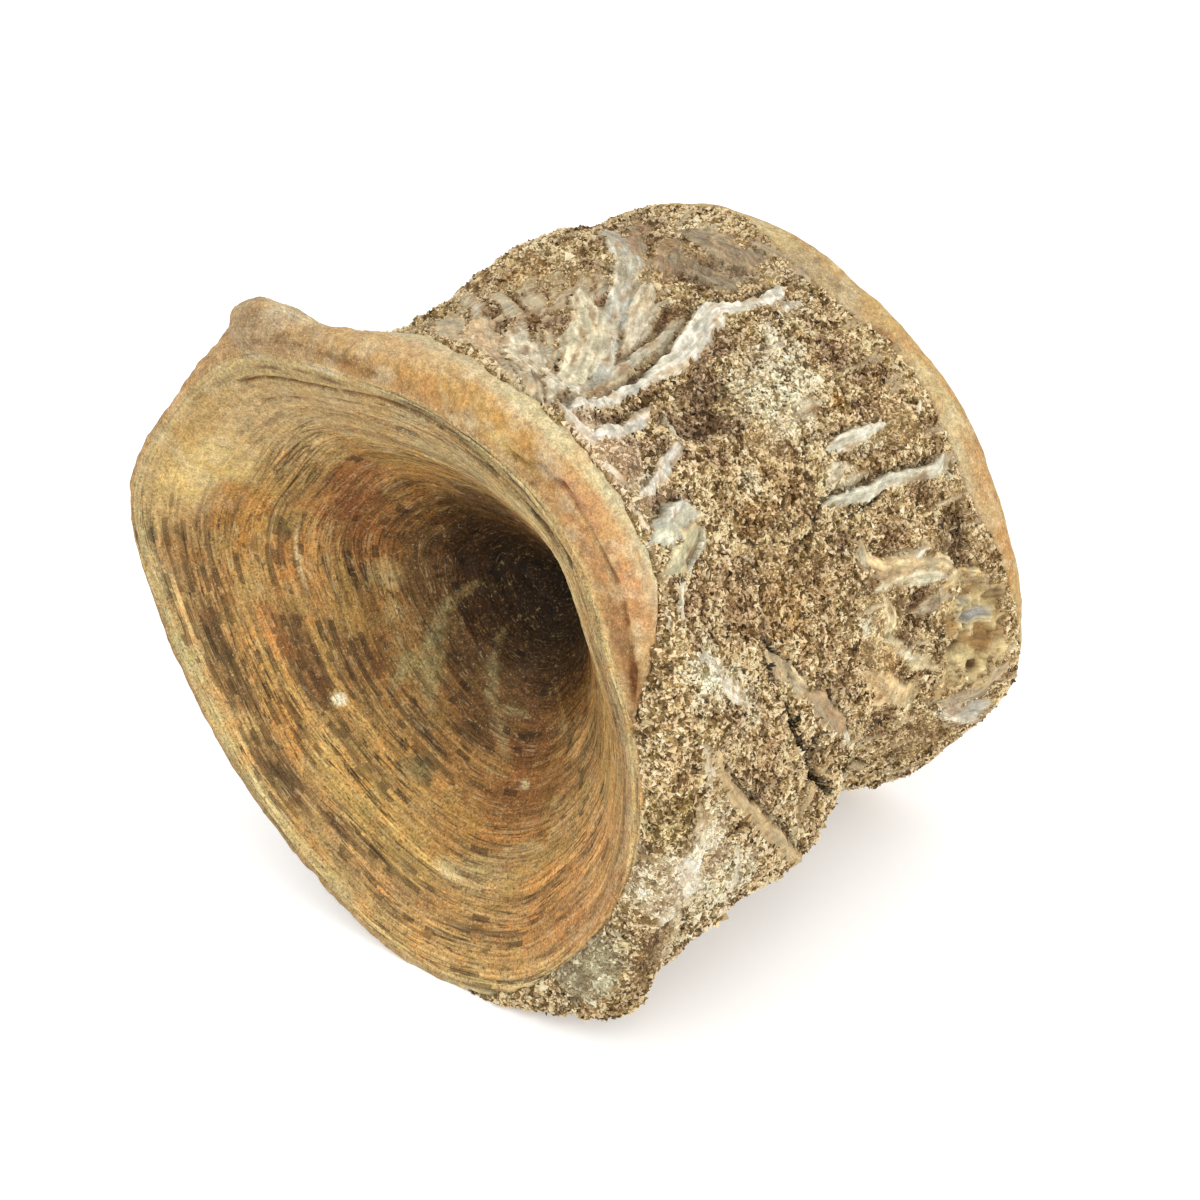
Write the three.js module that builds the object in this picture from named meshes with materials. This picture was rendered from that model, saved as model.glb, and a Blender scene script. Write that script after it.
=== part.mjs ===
// Fossil shark vertebra: one short, wide spool (an amphicoelous centrum) lying on its side.
// Both end faces are deep funnels, and the waist between the two rims is filled with cemented rock matrix,
// so bone and matrix are one closed solid. Millimetres, +Z up. The spool's axis runs along Y, with the better
// preserved face towards -Y. The origin is the middle of the fossil's box, on the surface that it rests on.
import * as THREE from 'three';

// ---- driving dimensions ----
const LENGTH = 51.6; // from the plane of the front face to the plane of the back face
const AXIS_HEIGHT = 28.6; // centre of the front face above the resting surface
const AXIS_X = -2.23; // centre of the front face, measured from the middle of the box
const BACK_SHIFT_X = 2.4; // the back face sits a little to the right of the front one
const BACK_SHIFT_Z = -1.7; // and a little lower

const FRONT_DEPTH = 24.5; // depth of the front funnel
const BACK_DEPTH = 20.5; // depth of the back funnel
const FRONT_APEX_X = 1.5; // the front funnel's point lies to the right of its face's centre
const FRONT_APEX_Z = 0.4; // and a little above it
const SHOULDER = 0.12; // how round a funnel's shoulder is, as a share of the funnel's radius

const AROUND = 64; // steps round the axis
const FUNNEL_STEPS = 11; // steps from a funnel's point to its crest
const SPAN_STEPS = 3; // steps between two stations of the side

// ---- outlines round the axis: [degrees from +X towards +Z, radius] ----
// The front rim's widest line. The corners at 115 and 163 degrees and the lump at -50 are where it is chipped.
const FRONT_EDGE = [
  [-170, 27.1], [-140, 25.3], [-115, 25.8], [-90, 28.6], [-65, 31.1], [-50, 33.9], [-38, 32.2],
  [-20, 30.6], [0, 30.3], [20, 30.3], [40, 31.4], [60, 31.7], [80, 30.1], [103, 29.2], [110, 32.0],
  [118, 32.2], [125, 30.9], [140, 30.0], [154, 31.0], [163, 31.3], [172, 29.8],
];
// Where the front funnel begins. The lip is the band between here and the widest line.
const FRONT_CREST = [
  [-170, 26.4], [-140, 24.7], [-115, 25.2], [-90, 27.8], [-65, 29.4], [-45, 28.4], [-20, 27.6],
  [0, 26.6], [20, 25.9], [45, 27.2], [70, 26.6], [90, 26.4], [105, 27.4], [120, 29.0], [140, 29.2],
  [164, 30.4],
];
const BACK_EDGE = [
  [-170, 30.0], [-120, 29.6], [-90, 28.3], [-62, 29.8], [-48, 31.6], [-33, 31.8], [-16, 33.0],
  [-4, 31.8], [15, 29.6], [31, 28.9], [60, 28.2], [74, 29.0], [98, 30.4], [117, 30.8], [150, 30.2],
];
// The matrix between the rims, as outlines at three distances behind the front face.
const FRONT_WAIST = [
  [-170, 26.4], [-140, 25.6], [-110, 26.0], [-80, 28.2], [-55, 31.0], [-35, 31.7], [-15, 30.0],
  [5, 28.0], [40, 27.4], [80, 26.9], [113, 26.9], [150, 26.8],
];
const MID_WAIST = [
  [-170, 26.0], [-120, 26.2], [-80, 27.6], [-55, 30.4], [-38, 31.9], [-20, 29.4], [5, 27.2],
  [40, 26.6], [80, 26.8], [113, 27.9], [150, 26.6],
];
const BACK_WAIST = [
  [-170, 27.0], [-120, 27.2], [-80, 27.0], [-40, 27.4], [-10, 28.2], [20, 27.6], [60, 27.4],
  [90, 28.4], [113, 30.7], [135, 29.0], [160, 27.2],
];
const FRONT_WAIST_Y = 14;
const MID_WAIST_Y = 25;
const BACK_WAIST_Y = 35.5;

// Smooth closed curve through an outline's points, read at one angle.
function radiusAt(outline, degrees) {
  const count = outline.length;
  const point = (i) => {
    const turns = Math.floor(i / count);
    const [angle, radius] = outline[i - turns * count];
    return [angle + 360 * turns, radius];
  };
  const first = outline[0][0];
  const angle = first + THREE.MathUtils.euclideanModulo(degrees - first, 360);
  let i = 0;
  while (point(i + 1)[0] <= angle) i += 1;
  const [a0, r0] = point(i - 1);
  const [a1, r1] = point(i);
  const [a2, r2] = point(i + 1);
  const [a3, r3] = point(i + 2);
  const span = a2 - a1;
  const t = (angle - a1) / span;
  const slope1 = (span * (r2 - r0)) / (a2 - a0);
  const slope2 = (span * (r3 - r1)) / (a3 - a1);
  const ease = t * t * (3 - 2 * t);
  return r1 + (r2 - r1) * ease + slope1 * t * (1 - t) ** 2 - slope2 * t * t * (1 - t);
}

// A funnel falls as a hyperbola: round at its shoulder and straight towards its point.
function funnelDepth(share, depth) {
  const fall = (v) => Math.hypot(v, SHOULDER) - SHOULDER;
  return (depth * fall(1 - share)) / fall(1);
}

// Stations of the side at one angle, from the front crest over both rims to the back crest.
// Each is (radius, distance behind the front face). A wide front lip is also a thick one.
function sideStations(degrees) {
  const crest = radiusAt(FRONT_CREST, degrees);
  const edge = radiusAt(FRONT_EDGE, degrees);
  const frontWaist = radiusAt(FRONT_WAIST, degrees);
  const midWaist = radiusAt(MID_WAIST, degrees);
  const backWaist = radiusAt(BACK_WAIST, degrees);
  const backEdge = radiusAt(BACK_EDGE, degrees);
  const lip = edge - crest;
  return [
    new THREE.Vector2(crest, 0),
    new THREE.Vector2(edge - 0.3 * lip, 0.15 + 0.12 * lip),
    new THREE.Vector2(edge, 1.2 + 0.45 * lip),
    new THREE.Vector2(edge - 0.7, 4.2 + 0.4 * lip),
    new THREE.Vector2((edge + frontWaist) / 2, 8.5),
    new THREE.Vector2(frontWaist, FRONT_WAIST_Y),
    new THREE.Vector2(midWaist, MID_WAIST_Y),
    new THREE.Vector2(backWaist, BACK_WAIST_Y),
    new THREE.Vector2(backEdge - 1.2, LENGTH - 7.5),
    new THREE.Vector2(backEdge, LENGTH - 2.8),
    new THREE.Vector2(backEdge - 0.9, LENGTH - 0.6),
    new THREE.Vector2(backEdge - 2.6, LENGTH),
  ];
}

// The whole profile at one angle, from just outside the front funnel's point to just outside the back one's.
// Each row is (radius, distance behind the front face, share of the way down the front funnel).
function profile(degrees) {
  const stations = sideStations(degrees);
  const frontCrest = stations[0].x;
  const backCrest = stations[stations.length - 1].x;
  const rows = [];
  for (let step = 1; step < FUNNEL_STEPS; step += 1) {
    const share = step / FUNNEL_STEPS;
    const y = funnelDepth(share, FRONT_DEPTH);
    rows.push([share * frontCrest, y, y / FRONT_DEPTH]);
  }
  const curve = new THREE.SplineCurve(stations);
  const steps = (stations.length - 1) * SPAN_STEPS;
  for (let step = 0; step <= steps; step += 1) {
    const point = curve.getPoint(step / steps);
    rows.push([point.x, point.y, 0]);
  }
  for (let step = FUNNEL_STEPS - 1; step > 0; step -= 1) {
    const share = step / FUNNEL_STEPS;
    rows.push([share * backCrest, LENGTH - funnelDepth(share, BACK_DEPTH), 0]);
  }
  return rows;
}

// A point of the fossil. The centre of each slice drifts to the back face's centre behind the front rim, and
// to the funnel's point inside the front funnel. Both rims are worn flat where they rest.
function place(degrees, [radius, y, funnelShare]) {
  const angle = THREE.MathUtils.degToRad(degrees);
  const drift = funnelShare > 0 ? 0 : y / LENGTH;
  const x = AXIS_X + BACK_SHIFT_X * drift + FRONT_APEX_X * funnelShare + radius * Math.cos(angle);
  const z = AXIS_HEIGHT + BACK_SHIFT_Z * drift + FRONT_APEX_Z * funnelShare + radius * Math.sin(angle);
  return [x, y - LENGTH / 2, Math.max(z, 0)];
}

function vertebraGeometry() {
  const positions = [];
  for (let i = 0; i < AROUND; i += 1) {
    const degrees = (360 * i) / AROUND;
    for (const row of profile(degrees)) positions.push(...place(degrees, row));
  }
  const rows = profile(0).length;
  const frontApex = AROUND * rows;
  const backApex = frontApex + 1;
  positions.push(...place(0, [0, FRONT_DEPTH, 1]));
  positions.push(...place(0, [0, LENGTH - BACK_DEPTH, 0]));

  const faces = [];
  for (let i = 0; i < AROUND; i += 1) {
    const here = i * rows;
    const next = ((i + 1) % AROUND) * rows;
    faces.push(frontApex, here, next);
    for (let j = 0; j < rows - 1; j += 1) {
      faces.push(here + j, next + j + 1, next + j);
      faces.push(here + j, here + j + 1, next + j + 1);
    }
    faces.push(backApex, next + rows - 1, here + rows - 1);
  }
  const geometry = new THREE.BufferGeometry();
  geometry.setAttribute('position', new THREE.Float32BufferAttribute(positions, 3));
  geometry.setIndex(faces);
  geometry.computeVertexNormals();
  return geometry;
}

const fossil = new THREE.MeshStandardMaterial({ color: '#a07a4c', roughness: 0.85, metalness: 0 });
const vertebra = new THREE.Mesh(vertebraGeometry(), fossil);
vertebra.name = 'vertebra';

const group = new THREE.Group();
group.add(vertebra);
export default group;
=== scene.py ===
"""Looks of the shark vertebra fossil.

Two growth-ringed cones of bone stand back to back. Granular phosphate rock is cemented round their waist,
and whitish calcified lamellae stand out of it. Lengths are millimetres until a mesh is made. A place on the
side is (degrees round from +X towards +Z, millimetres behind the front face). A place in a funnel is
(degrees, share of the way out from its point to its crest). An oval spot is (degrees, place across, half
width, half height), and a line is a list of (degrees, place across, half width).
"""

import math

import bpy
import numpy as np
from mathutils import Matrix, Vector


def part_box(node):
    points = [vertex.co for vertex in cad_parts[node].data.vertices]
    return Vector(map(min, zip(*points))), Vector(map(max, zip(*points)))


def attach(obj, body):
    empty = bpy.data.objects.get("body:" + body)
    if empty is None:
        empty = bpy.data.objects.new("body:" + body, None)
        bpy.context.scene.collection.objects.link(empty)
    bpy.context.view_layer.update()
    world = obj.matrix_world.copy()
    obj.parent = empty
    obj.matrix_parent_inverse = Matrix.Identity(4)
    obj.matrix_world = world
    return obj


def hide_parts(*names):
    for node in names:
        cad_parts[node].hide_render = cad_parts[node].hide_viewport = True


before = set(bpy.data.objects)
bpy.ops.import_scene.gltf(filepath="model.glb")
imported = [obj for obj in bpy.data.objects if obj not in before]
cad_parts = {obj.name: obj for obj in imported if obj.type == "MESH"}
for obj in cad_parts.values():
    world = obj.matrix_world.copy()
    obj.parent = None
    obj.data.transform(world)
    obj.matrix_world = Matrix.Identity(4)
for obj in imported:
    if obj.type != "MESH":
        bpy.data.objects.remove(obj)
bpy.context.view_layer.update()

MM = 0.001
LOW, HIGH = (np.array(corner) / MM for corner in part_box("vertebra"))
SEED = 20

# ---------------------------------------------------------------- the fossil's form, as in the CAD model
LENGTH = HIGH[1] - LOW[1]
AXIS_X = (LOW[0] + HIGH[0]) / 2 - 2.23
AXIS_HEIGHT = LOW[2] + 28.6
# How far the far face's centre lies from the near one's, and the near funnel's point from its mouth's.
BACK_SHIFT_X = 2.4
BACK_SHIFT_Z = -1.7
FRONT_APEX_X = 1.5
FRONT_APEX_Z = 0.4
FRONT_DEPTH = 24.5
BACK_DEPTH = 20.5
SHOULDER = 0.12
BACK_CREST_INSET = 2.6
# How far behind the front face the three waist outlines are.
FRONT_WAIST_Y = 14
MID_WAIST_Y = 25
BACK_WAIST_Y = 35.5

# Outlines seen along the axis: (degrees, radius).
FRONT_EDGE = [
    (-170, 27.1), (-140, 25.3), (-115, 25.8), (-90, 28.6), (-65, 31.1), (-50, 33.9), (-38, 32.2),
    (-20, 30.6), (0, 30.3), (20, 30.3), (40, 31.4), (60, 31.7), (80, 30.1), (103, 29.2), (110, 32.0),
    (118, 32.2), (125, 30.9), (140, 30.0), (154, 31.0), (163, 31.3), (172, 29.8),
]
FRONT_CREST = [
    (-170, 26.4), (-140, 24.7), (-115, 25.2), (-90, 27.8), (-65, 29.4), (-45, 28.4), (-20, 27.6), (0, 26.6),
    (20, 25.9), (45, 27.2), (70, 26.6), (90, 26.4), (105, 27.4), (120, 29.0), (140, 29.2), (164, 30.4),
]
BACK_EDGE = [
    (-170, 30.0), (-120, 29.6), (-90, 28.3), (-62, 29.8), (-48, 31.6), (-33, 31.8), (-16, 33.0), (-4, 31.8),
    (15, 29.6), (31, 28.9), (60, 28.2), (74, 29.0), (98, 30.4), (117, 30.8), (150, 30.2),
]
FRONT_WAIST = [
    (-170, 26.4), (-140, 25.6), (-110, 26.0), (-80, 28.2), (-55, 31.0), (-35, 31.7), (-15, 30.0), (5, 28.0),
    (40, 27.4), (80, 26.9), (113, 26.9), (150, 26.8),
]
MID_WAIST = [
    (-170, 26.0), (-120, 26.2), (-80, 27.6), (-55, 30.4), (-38, 31.9), (-20, 29.4), (5, 27.2), (40, 26.6),
    (80, 26.8), (113, 27.9), (150, 26.6),
]
BACK_WAIST = [
    (-170, 27.0), (-120, 27.2), (-80, 27.0), (-40, 27.4), (-10, 28.2), (20, 27.6), (60, 27.4), (90, 28.4),
    (113, 30.7), (135, 29.0), (160, 27.2),
]

# Where the smooth skin of bone ends and the rock begins: (degrees, millimetres over the rim from its crest).
FRONT_SKIN = [
    (-170, 2.6), (-120, 2.0), (-85, 1.2), (-60, -0.3), (-43, -0.6), (-30, -0.7), (-18, -0.5), (-8, -0.1),
    (4, -0.1), (12, 0.6), (18, 2.0), (24, 3.6), (30, 4.8), (40, 5.2), (60, 5.2), (78, 5.3), (84, 6.2),
    (89, 8.2), (96, 10.5), (103, 10.8), (109, 7.0), (116, 4.2), (150, 3.2),
]
BACK_SKIN = [
    (-170, 5.5), (-130, 6.5), (-100, 5.4), (-70, 6.2), (-45, 5.0), (-28, 4.2), (-15, 3.4), (-4, 4.0),
    (10, 5.6), (20, 6.6), (30, 6.6), (40, 6.0), (50, 5.8), (60, 6.6), (68, 6.8), (78, 6.4), (86, 4.8),
    (94, 4.2), (115, 4.4), (145, 5.6),
]


def radius_at(outline, degrees):
    """Radius of a closed outline at each angle, on a smooth curve through its points."""
    angles = np.array([angle for angle, _ in outline], float)
    radii = np.array([radius for _, radius in outline], float)
    angles = np.concatenate([angles[-2:] - 360, angles, angles[:3] + 360])
    radii = np.concatenate([radii[-2:], radii, radii[:3]])
    here = outline[0][0] + np.mod(np.asarray(degrees, float) - outline[0][0], 360)
    i = np.clip(np.searchsorted(angles, here, side="right") - 1, 1, len(angles) - 3)
    a0, a1, a2, a3 = (angles[i + k] for k in (-1, 0, 1, 2))
    r0, r1, r2, r3 = (radii[i + k] for k in (-1, 0, 1, 2))
    span = a2 - a1
    t = (here - a1) / span
    slope1 = span * (r2 - r0) / (a2 - a0)
    slope2 = span * (r3 - r1) / (a3 - a1)
    return r1 + (r2 - r1) * t * t * (3 - 2 * t) + slope1 * t * (1 - t) ** 2 - slope2 * t * t * (1 - t)


def funnel_depth(share, depth):
    """Depth of a funnel below its crest: round at the shoulder and straight towards the point."""
    fall = np.hypot(1 - share, SHOULDER) - SHOULDER
    return depth * fall / (math.hypot(1, SHOULDER) - SHOULDER)


def side_stations(degrees):
    """Radius and distance behind the front face of the side's stations, from front crest to back crest."""
    crest, edge, front_waist, mid_waist, back_waist, back_edge = (
        radius_at(outline, degrees)
        for outline in (FRONT_CREST, FRONT_EDGE, FRONT_WAIST, MID_WAIST, BACK_WAIST, BACK_EDGE)
    )
    lip = edge - crest
    still = np.zeros_like(crest)
    return np.array([
        (crest, still),
        (edge - 0.3 * lip, 0.15 + 0.12 * lip),
        (edge, 1.2 + 0.45 * lip),
        (edge - 0.7, 4.2 + 0.4 * lip),
        ((edge + front_waist) / 2, still + 8.5),
        (front_waist, still + FRONT_WAIST_Y),
        (mid_waist, still + MID_WAIST_Y),
        (back_waist, still + BACK_WAIST_Y),
        (back_edge - 1.2, still + LENGTH - 7.5),
        (back_edge, still + LENGTH - 2.8),
        (back_edge - 0.9, still + LENGTH - 0.6),
        (back_edge - BACK_CREST_INSET, still + LENGTH),
    ])


def side_profile(degrees, steps=14):
    """The side's curve at each angle: radius, distance back and length along it, each (points, angles)."""
    stations = side_stations(degrees)
    padded = np.concatenate([stations[:1], stations, stations[-1:]])
    curve = []
    for i in range(len(stations) - 1):
        a, b, c, d = padded[i:i + 4]
        for t in np.arange(steps) / steps:
            curve.append(0.5 * (2 * b + (c - a) * t + (2 * a - 5 * b + 4 * c - d) * t ** 2
                                + (3 * b - a - 3 * c + d) * t ** 3))
    curve.append(stations[-1])
    curve = np.array(curve)
    radius, back = curve[:, 0], curve[:, 1]
    hops = np.hypot(np.diff(radius, axis=0), np.diff(back, axis=0))
    along = np.concatenate([np.zeros((1, radius.shape[1])), np.cumsum(hops, axis=0)])
    return radius, back, along


def place(degrees, radius, back, funnel_share=0.0):
    """Points in space. A slice's centre drifts to the back face's centre, or to the front funnel's point."""
    turn = np.radians(degrees)
    drift = np.where(funnel_share > 0, 0, back / LENGTH)
    x = AXIS_X + BACK_SHIFT_X * drift + FRONT_APEX_X * funnel_share + radius * np.cos(turn)
    z = AXIS_HEIGHT + BACK_SHIFT_Z * drift + FRONT_APEX_Z * funnel_share + radius * np.sin(turn)
    return np.stack([x, back + LOW[1], z], -1)


def on_axis(back, funnel_share=0.0):
    """Points on the axis at distances behind the front face."""
    still = np.zeros(len(back))
    return place(still, still, np.array(back), np.array(funnel_share))


# ---------------------------------------------------------------- noise and blending
TABLE = np.random.default_rng(SEED)
SHUFFLE = TABLE.permutation(256)
SLOPES = TABLE.normal(size=(256, 3))
SLOPES /= np.linalg.norm(SLOPES, axis=1)[:, None]


def noise(points, seed=0):
    """Smooth noise between about -1 and 1, with lumps one unit across."""
    cell = np.floor(points).astype(int)
    part = points - cell
    fade = part ** 3 * (part * (part * 6 - 15) + 10)
    total = np.zeros(points.shape[:-1])
    for corner in np.ndindex(2, 2, 2):
        x, y, z = np.moveaxis(cell + corner, -1, 0)
        slope = SLOPES[SHUFFLE[(SHUFFLE[(SHUFFLE[(x + seed * 37) & 255] + y) & 255] + z) & 255]]
        weight = np.prod(np.where(corner, fade, 1 - fade), axis=-1)
        total += weight * ((part - corner) * slope).sum(-1)
    return total * 1.7


def rough(points, size, octaves, seed=0):
    """Noise with lumps of the given size in millimetres and finer ones on them."""
    total = np.zeros(points.shape[:-1])
    for octave in range(octaves):
        total += noise(points * (2.03 ** octave / size), seed + octave) * 0.5 ** octave
    return total


def streaky(x, y, z, seed):
    """Noise at coordinates given one by one. The last may be a number."""
    return noise(np.stack([x, y, z + 0 * x], -1), seed)


def step(low, high, value):
    """0 at low, 1 at high, smooth between. Low may be the greater."""
    t = np.clip((value - low) / (high - low), 0, 1)
    return t * t * (3 - 2 * t)


def linear(colour):
    """Linear red, green and blue of a colour written #rrggbb."""
    value = np.array([int(colour[i:i + 2], 16) for i in (1, 3, 5)]) / 255
    return np.where(value > 0.04045, ((value + 0.055) / 1.055) ** 2.4, value / 12.92)


def toward(colour, amount, other):
    """Colours moved towards others by an amount at each place."""
    return colour + amount[..., None] * (other - colour)


def turned(degrees, centre):
    """Angle from centre, between -180 and 180 degrees."""
    return np.mod(degrees - centre + 180, 360) - 180


def blob(degrees, across, spot, wobble):
    """How far a place is inside an oval spot: 1 inside, 0 outside."""
    angle, level, wide, high = spot
    reach = np.hypot(turned(degrees, angle) / wide, (across - level) / high)
    return step(1.25, 0.55, reach + 0.35 * wobble)


def swelling(degrees, across, swells, wobble):
    """Height of swells and hollows, each an oval spot and its height."""
    return sum(tall * blob(degrees, across, spot, wobble) for spot, tall in swells)


def near_line(degrees, across, line, degree_size):
    """How a place lies beside a line: its signed distance in millimetres, the line's half width there, and
    the millimetres run from the line's start and left to its end."""
    side = np.full(np.shape(degrees), 1e9)
    width = np.ones(np.shape(degrees))
    run = np.zeros(np.shape(degrees))
    length = 0.0
    for (a0, b0, w0), (a1, b1, w1) in zip(line[:-1], line[1:]):
        along = np.array([(a1 - a0) * degree_size, b1 - b0])
        hop = math.hypot(*along)
        x = turned(degrees, a0) * degree_size
        y = across - b0
        t = np.clip((x * along[0] + y * along[1]) / hop ** 2, 0, 1)
        away = np.hypot(x - t * along[0], y - t * along[1])
        closer = away < np.abs(side)
        side = np.where(closer, np.where(x * along[1] > y * along[0], away, -away), side)
        width = np.where(closer, w0 + t * (w1 - w0), width)
        run = np.where(closer, length + t * hop, run)
        length += hop
    return side, width, run, length - run


def cut_depth(degrees, across, cuts, degree_size, edge, wobble=0.0):
    """Depth of grooves or cracks, each a line and its depth. Edge is where a cut begins and where it is at
    its deepest, in half widths from its middle."""
    total = np.zeros(degrees.shape)
    for line, depth in cuts:
        side, width, _, _ = near_line(degrees, across, line, degree_size)
        total = np.maximum(total, depth * step(*edge, np.abs(side) / width + wobble))
    return total


# ---------------------------------------------------------------- meshes
def closed_faces(rows, around):
    """Faces of a grid that runs round and is closed by a point before its first row and one after its last,
    and the bake map's place of each corner."""
    here = np.arange(around)
    after = (here + 1) % around
    row = np.arange(rows - 1)[:, None] * around
    quads = np.stack([row + here, row + around + here, row + around + after, row + after], -1).reshape(-1, 4)
    first, last = rows * around, rows * around + 1
    start = np.stack([here * 0 + first, here, after], -1)
    bottom = (rows - 1) * around
    end = np.stack([bottom + here, here * 0 + last, bottom + after], -1)

    u0, u1 = here / around, (here + 1) / around
    v = ((np.arange(rows - 1) + 1) / (rows + 1))[:, None] + 0 * u0
    down = 1 / (rows + 1)
    u0s, u1s = u0 + 0 * v, u1 + 0 * v
    quad_map = np.stack([u0s, v, u0s, v + down, u1s, v + down, u1s, v], -1).reshape(-1, 2)
    middle = (u0 + u1) / 2
    start_map = np.stack([middle, 0 * u0, u0, 0 * u0 + down, u1, 0 * u0 + down], -1).reshape(-1, 2)
    end_map = np.stack([u0, 0 * u0 + 1 - down, middle, 0 * u0 + 1, u1, 0 * u0 + 1 - down], -1).reshape(-1, 2)
    return [quads, start, end], np.concatenate([quad_map, start_map, end_map])


def make_piece(name, points, faces, material, attributes, smooth=True, bake_map=None):
    """One mesh from points in millimetres, riding on the fossil's body. Nothing reaches below the ground."""
    points = points.copy()
    points[:, 2] = np.maximum(points[:, 2], LOW[2])
    mesh = bpy.data.meshes.new(name)
    corners = np.concatenate([group.ravel() for group in faces])
    sizes = np.concatenate([np.full(len(group), group.shape[1]) for group in faces])
    mesh.vertices.add(len(points))
    mesh.vertices.foreach_set("co", (points * MM).ravel())
    mesh.loops.add(len(corners))
    mesh.loops.foreach_set("vertex_index", corners)
    mesh.polygons.add(len(sizes))
    mesh.polygons.foreach_set("loop_start", np.cumsum(sizes) - sizes)
    mesh.update(calc_edges=True)
    mesh.polygons.foreach_set("use_smooth", np.full(len(sizes), smooth))
    for key, values in attributes.items():
        mesh.attributes.new(key, "FLOAT_VECTOR", "POINT").data.foreach_set("vector", values.ravel())
    if bake_map is not None:
        mesh.uv_layers.new(name="OFBake").uv.foreach_set("vector", bake_map.ravel())
    mesh.materials.append(material)
    piece = bpy.data.objects.new(name, mesh)
    bpy.context.collection.objects.link(piece)
    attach(piece, "root")
    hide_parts("vertebra")


def make_round_piece(name, grid, tips, material, attributes):
    """A closed piece from a grid that runs round, the points that close it, and values over the grid."""
    rows, around = grid.shape[:2]
    faces, bake_map = closed_faces(rows, around)
    points = np.concatenate([grid.reshape(-1, 3), tips])
    closed = {}
    for key, values in attributes.items():
        ends = [values[0].mean(axis=0), values[-1].mean(axis=0)]
        closed[key] = np.concatenate([values.reshape(-1, 3), ends])
    make_piece(name, points, faces, material, closed, bake_map=bake_map)


def outward(grid):
    """Unit normals of a grid of points that runs round."""
    around = np.roll(grid, -1, axis=1) - np.roll(grid, 1, axis=1)
    along = np.gradient(grid, axis=0)
    normal = np.cross(along, around)
    return normal / np.maximum(np.linalg.norm(normal, axis=-1, keepdims=True), 1e-9)


def raised(grid, height):
    """A grid of points moved along its normals by a height at each."""
    return grid + outward(grid) * height[..., None]


# ---------------------------------------------------------------- tones
def painted(degrees, level, base, spots, wobble):
    """Colour over a surface: a base, with oval spots on it that also have a colour and a strength."""
    colour = base
    for *spot, name, strength in spots:
        colour = toward(colour, strength * blob(degrees, level, spot, wobble), linear(name))
    return colour


def ramp(level, stops):
    """Colour at each level between stops of (level, colour)."""
    levels = [stop for stop, _ in stops]
    channels = np.array([linear(name) for _, name in stops])
    return np.stack([np.interp(level, levels, channels[:, k]) for k in range(3)], -1)


# ---------------------------------------------------------------- the cones of bone
# The growth rings lie at even distances along a radius of this length.
RING_REACH = 28.0
RING_PITCH = 0.82
DEGREE_SIZE = math.radians(1) * RING_REACH
# Thickness of a cone, and shares of its radius where the points of its hidden face are.
SHELL = 2.6
HIDDEN_SHARES = (0.93, 0.75, 0.55, 0.35, 0.12)
# How far a radius shrinks for each millimetre down a funnel's slope.
SLANT = 0.77
# How far the bone goes on under the rock, and the lip distance that stands for the hidden face.
LIP_OVERLAP = 1.6
HIDDEN_OUT = 12

FRONT_AROUND = 384
FRONT_CUP_ROWS = 204
FRONT_LIP_ROWS = 30
BACK_AROUND = 300
BACK_CUP_ROWS = 100
BACK_LIP_ROWS = 34

# Cracks and grooves of the near cone, out from its crest: line, depth.
GROOVES = [
    ([(40, -2.0, 0.5), (50, -2.9, 0.35), (58, -2.7, 0.3), (66, -2.2, 0.3), (76, -1.8, 0.35),
      (85, -1.9, 0.4), (92, -2.3, 0.3), (99, -3.1, 0.3), (110, -3.2, 0.25), (122, -3.0, 0.2)], 0.35),
    ([(66, -5.2, 0.4), (74, -4.2, 0.3), (83, -3.6, 0.3), (95, -4.2, 0.3), (104, -4.9, 0.2)], 0.25),
    ([(84, -6.6, 0.4), (96, -6.4, 0.35), (108, -6.1, 0.3), (124, -5.7, 0.2)], 0.22),
    ([(8, -0.4, 0.25), (14, 0.4, 0.3), (20, 1.3, 0.4), (28, 1.9, 0.35), (34, 2.1, 0.2), (44, 2.1, 0.12),
      (50, 2.2, 0.22), (54, 1.8, 0.3), (56, 1.0, 0.3), (60, 0.7, 0.15)], 0.3),
    ([(53, -0.6, 0.15), (54, 0.6, 0.2)], 0.25),
    ([(80, 0.2, 0.2), (90, 0.6, 0.35), (100, 1.0, 0.25), (112, 1.1, 0.3)], 0.15),
]
GROOVE_EDGE = (1.3, 0.3)
GROOVE_SHADE = np.array([0.55, 0.72, 0.86])
# Swells and dents of the near lip, out from its crest: oval spot, height.
LIP_SWELLS = [
    ((113.2, 2.4, 5.2, 2.3), 1.15), ((105.0, 2.2, 2.6, 2.0), -0.35), ((101, 3.4, 5, 2.0), 0.3),
    ((40, 3.2, 6, 1.2), 0.2), ((62, 3.4, 8, 1.4), 0.15), ((-150, 1.2, 3, 0.9), -0.3),
    ((-112, 0.9, 3, 0.8), -0.3), ((165, 1.0, 3, 0.8), -0.3),
]
# The hollow behind the knob: its place in degrees and its depth.
HOLLOW_DEGREE = 114
HOLLOW_DEPTH = 2.2
# The part of the near lip that has growth rings.
RINGED_LIP = (160, 0, 62, 40)
# Parts of the near cup whose rings are worn: oval spot, how far, and its wobble as strength, octaves, seed.
WORN = [((128, 0.93, 42, 0.17), 0.65, (0.8, 3, 19)), ((149, 0.82, 14, 0.11), 0.6, (0.5, 2, 67))]
WORN_WOBBLE = 4.0

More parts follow.
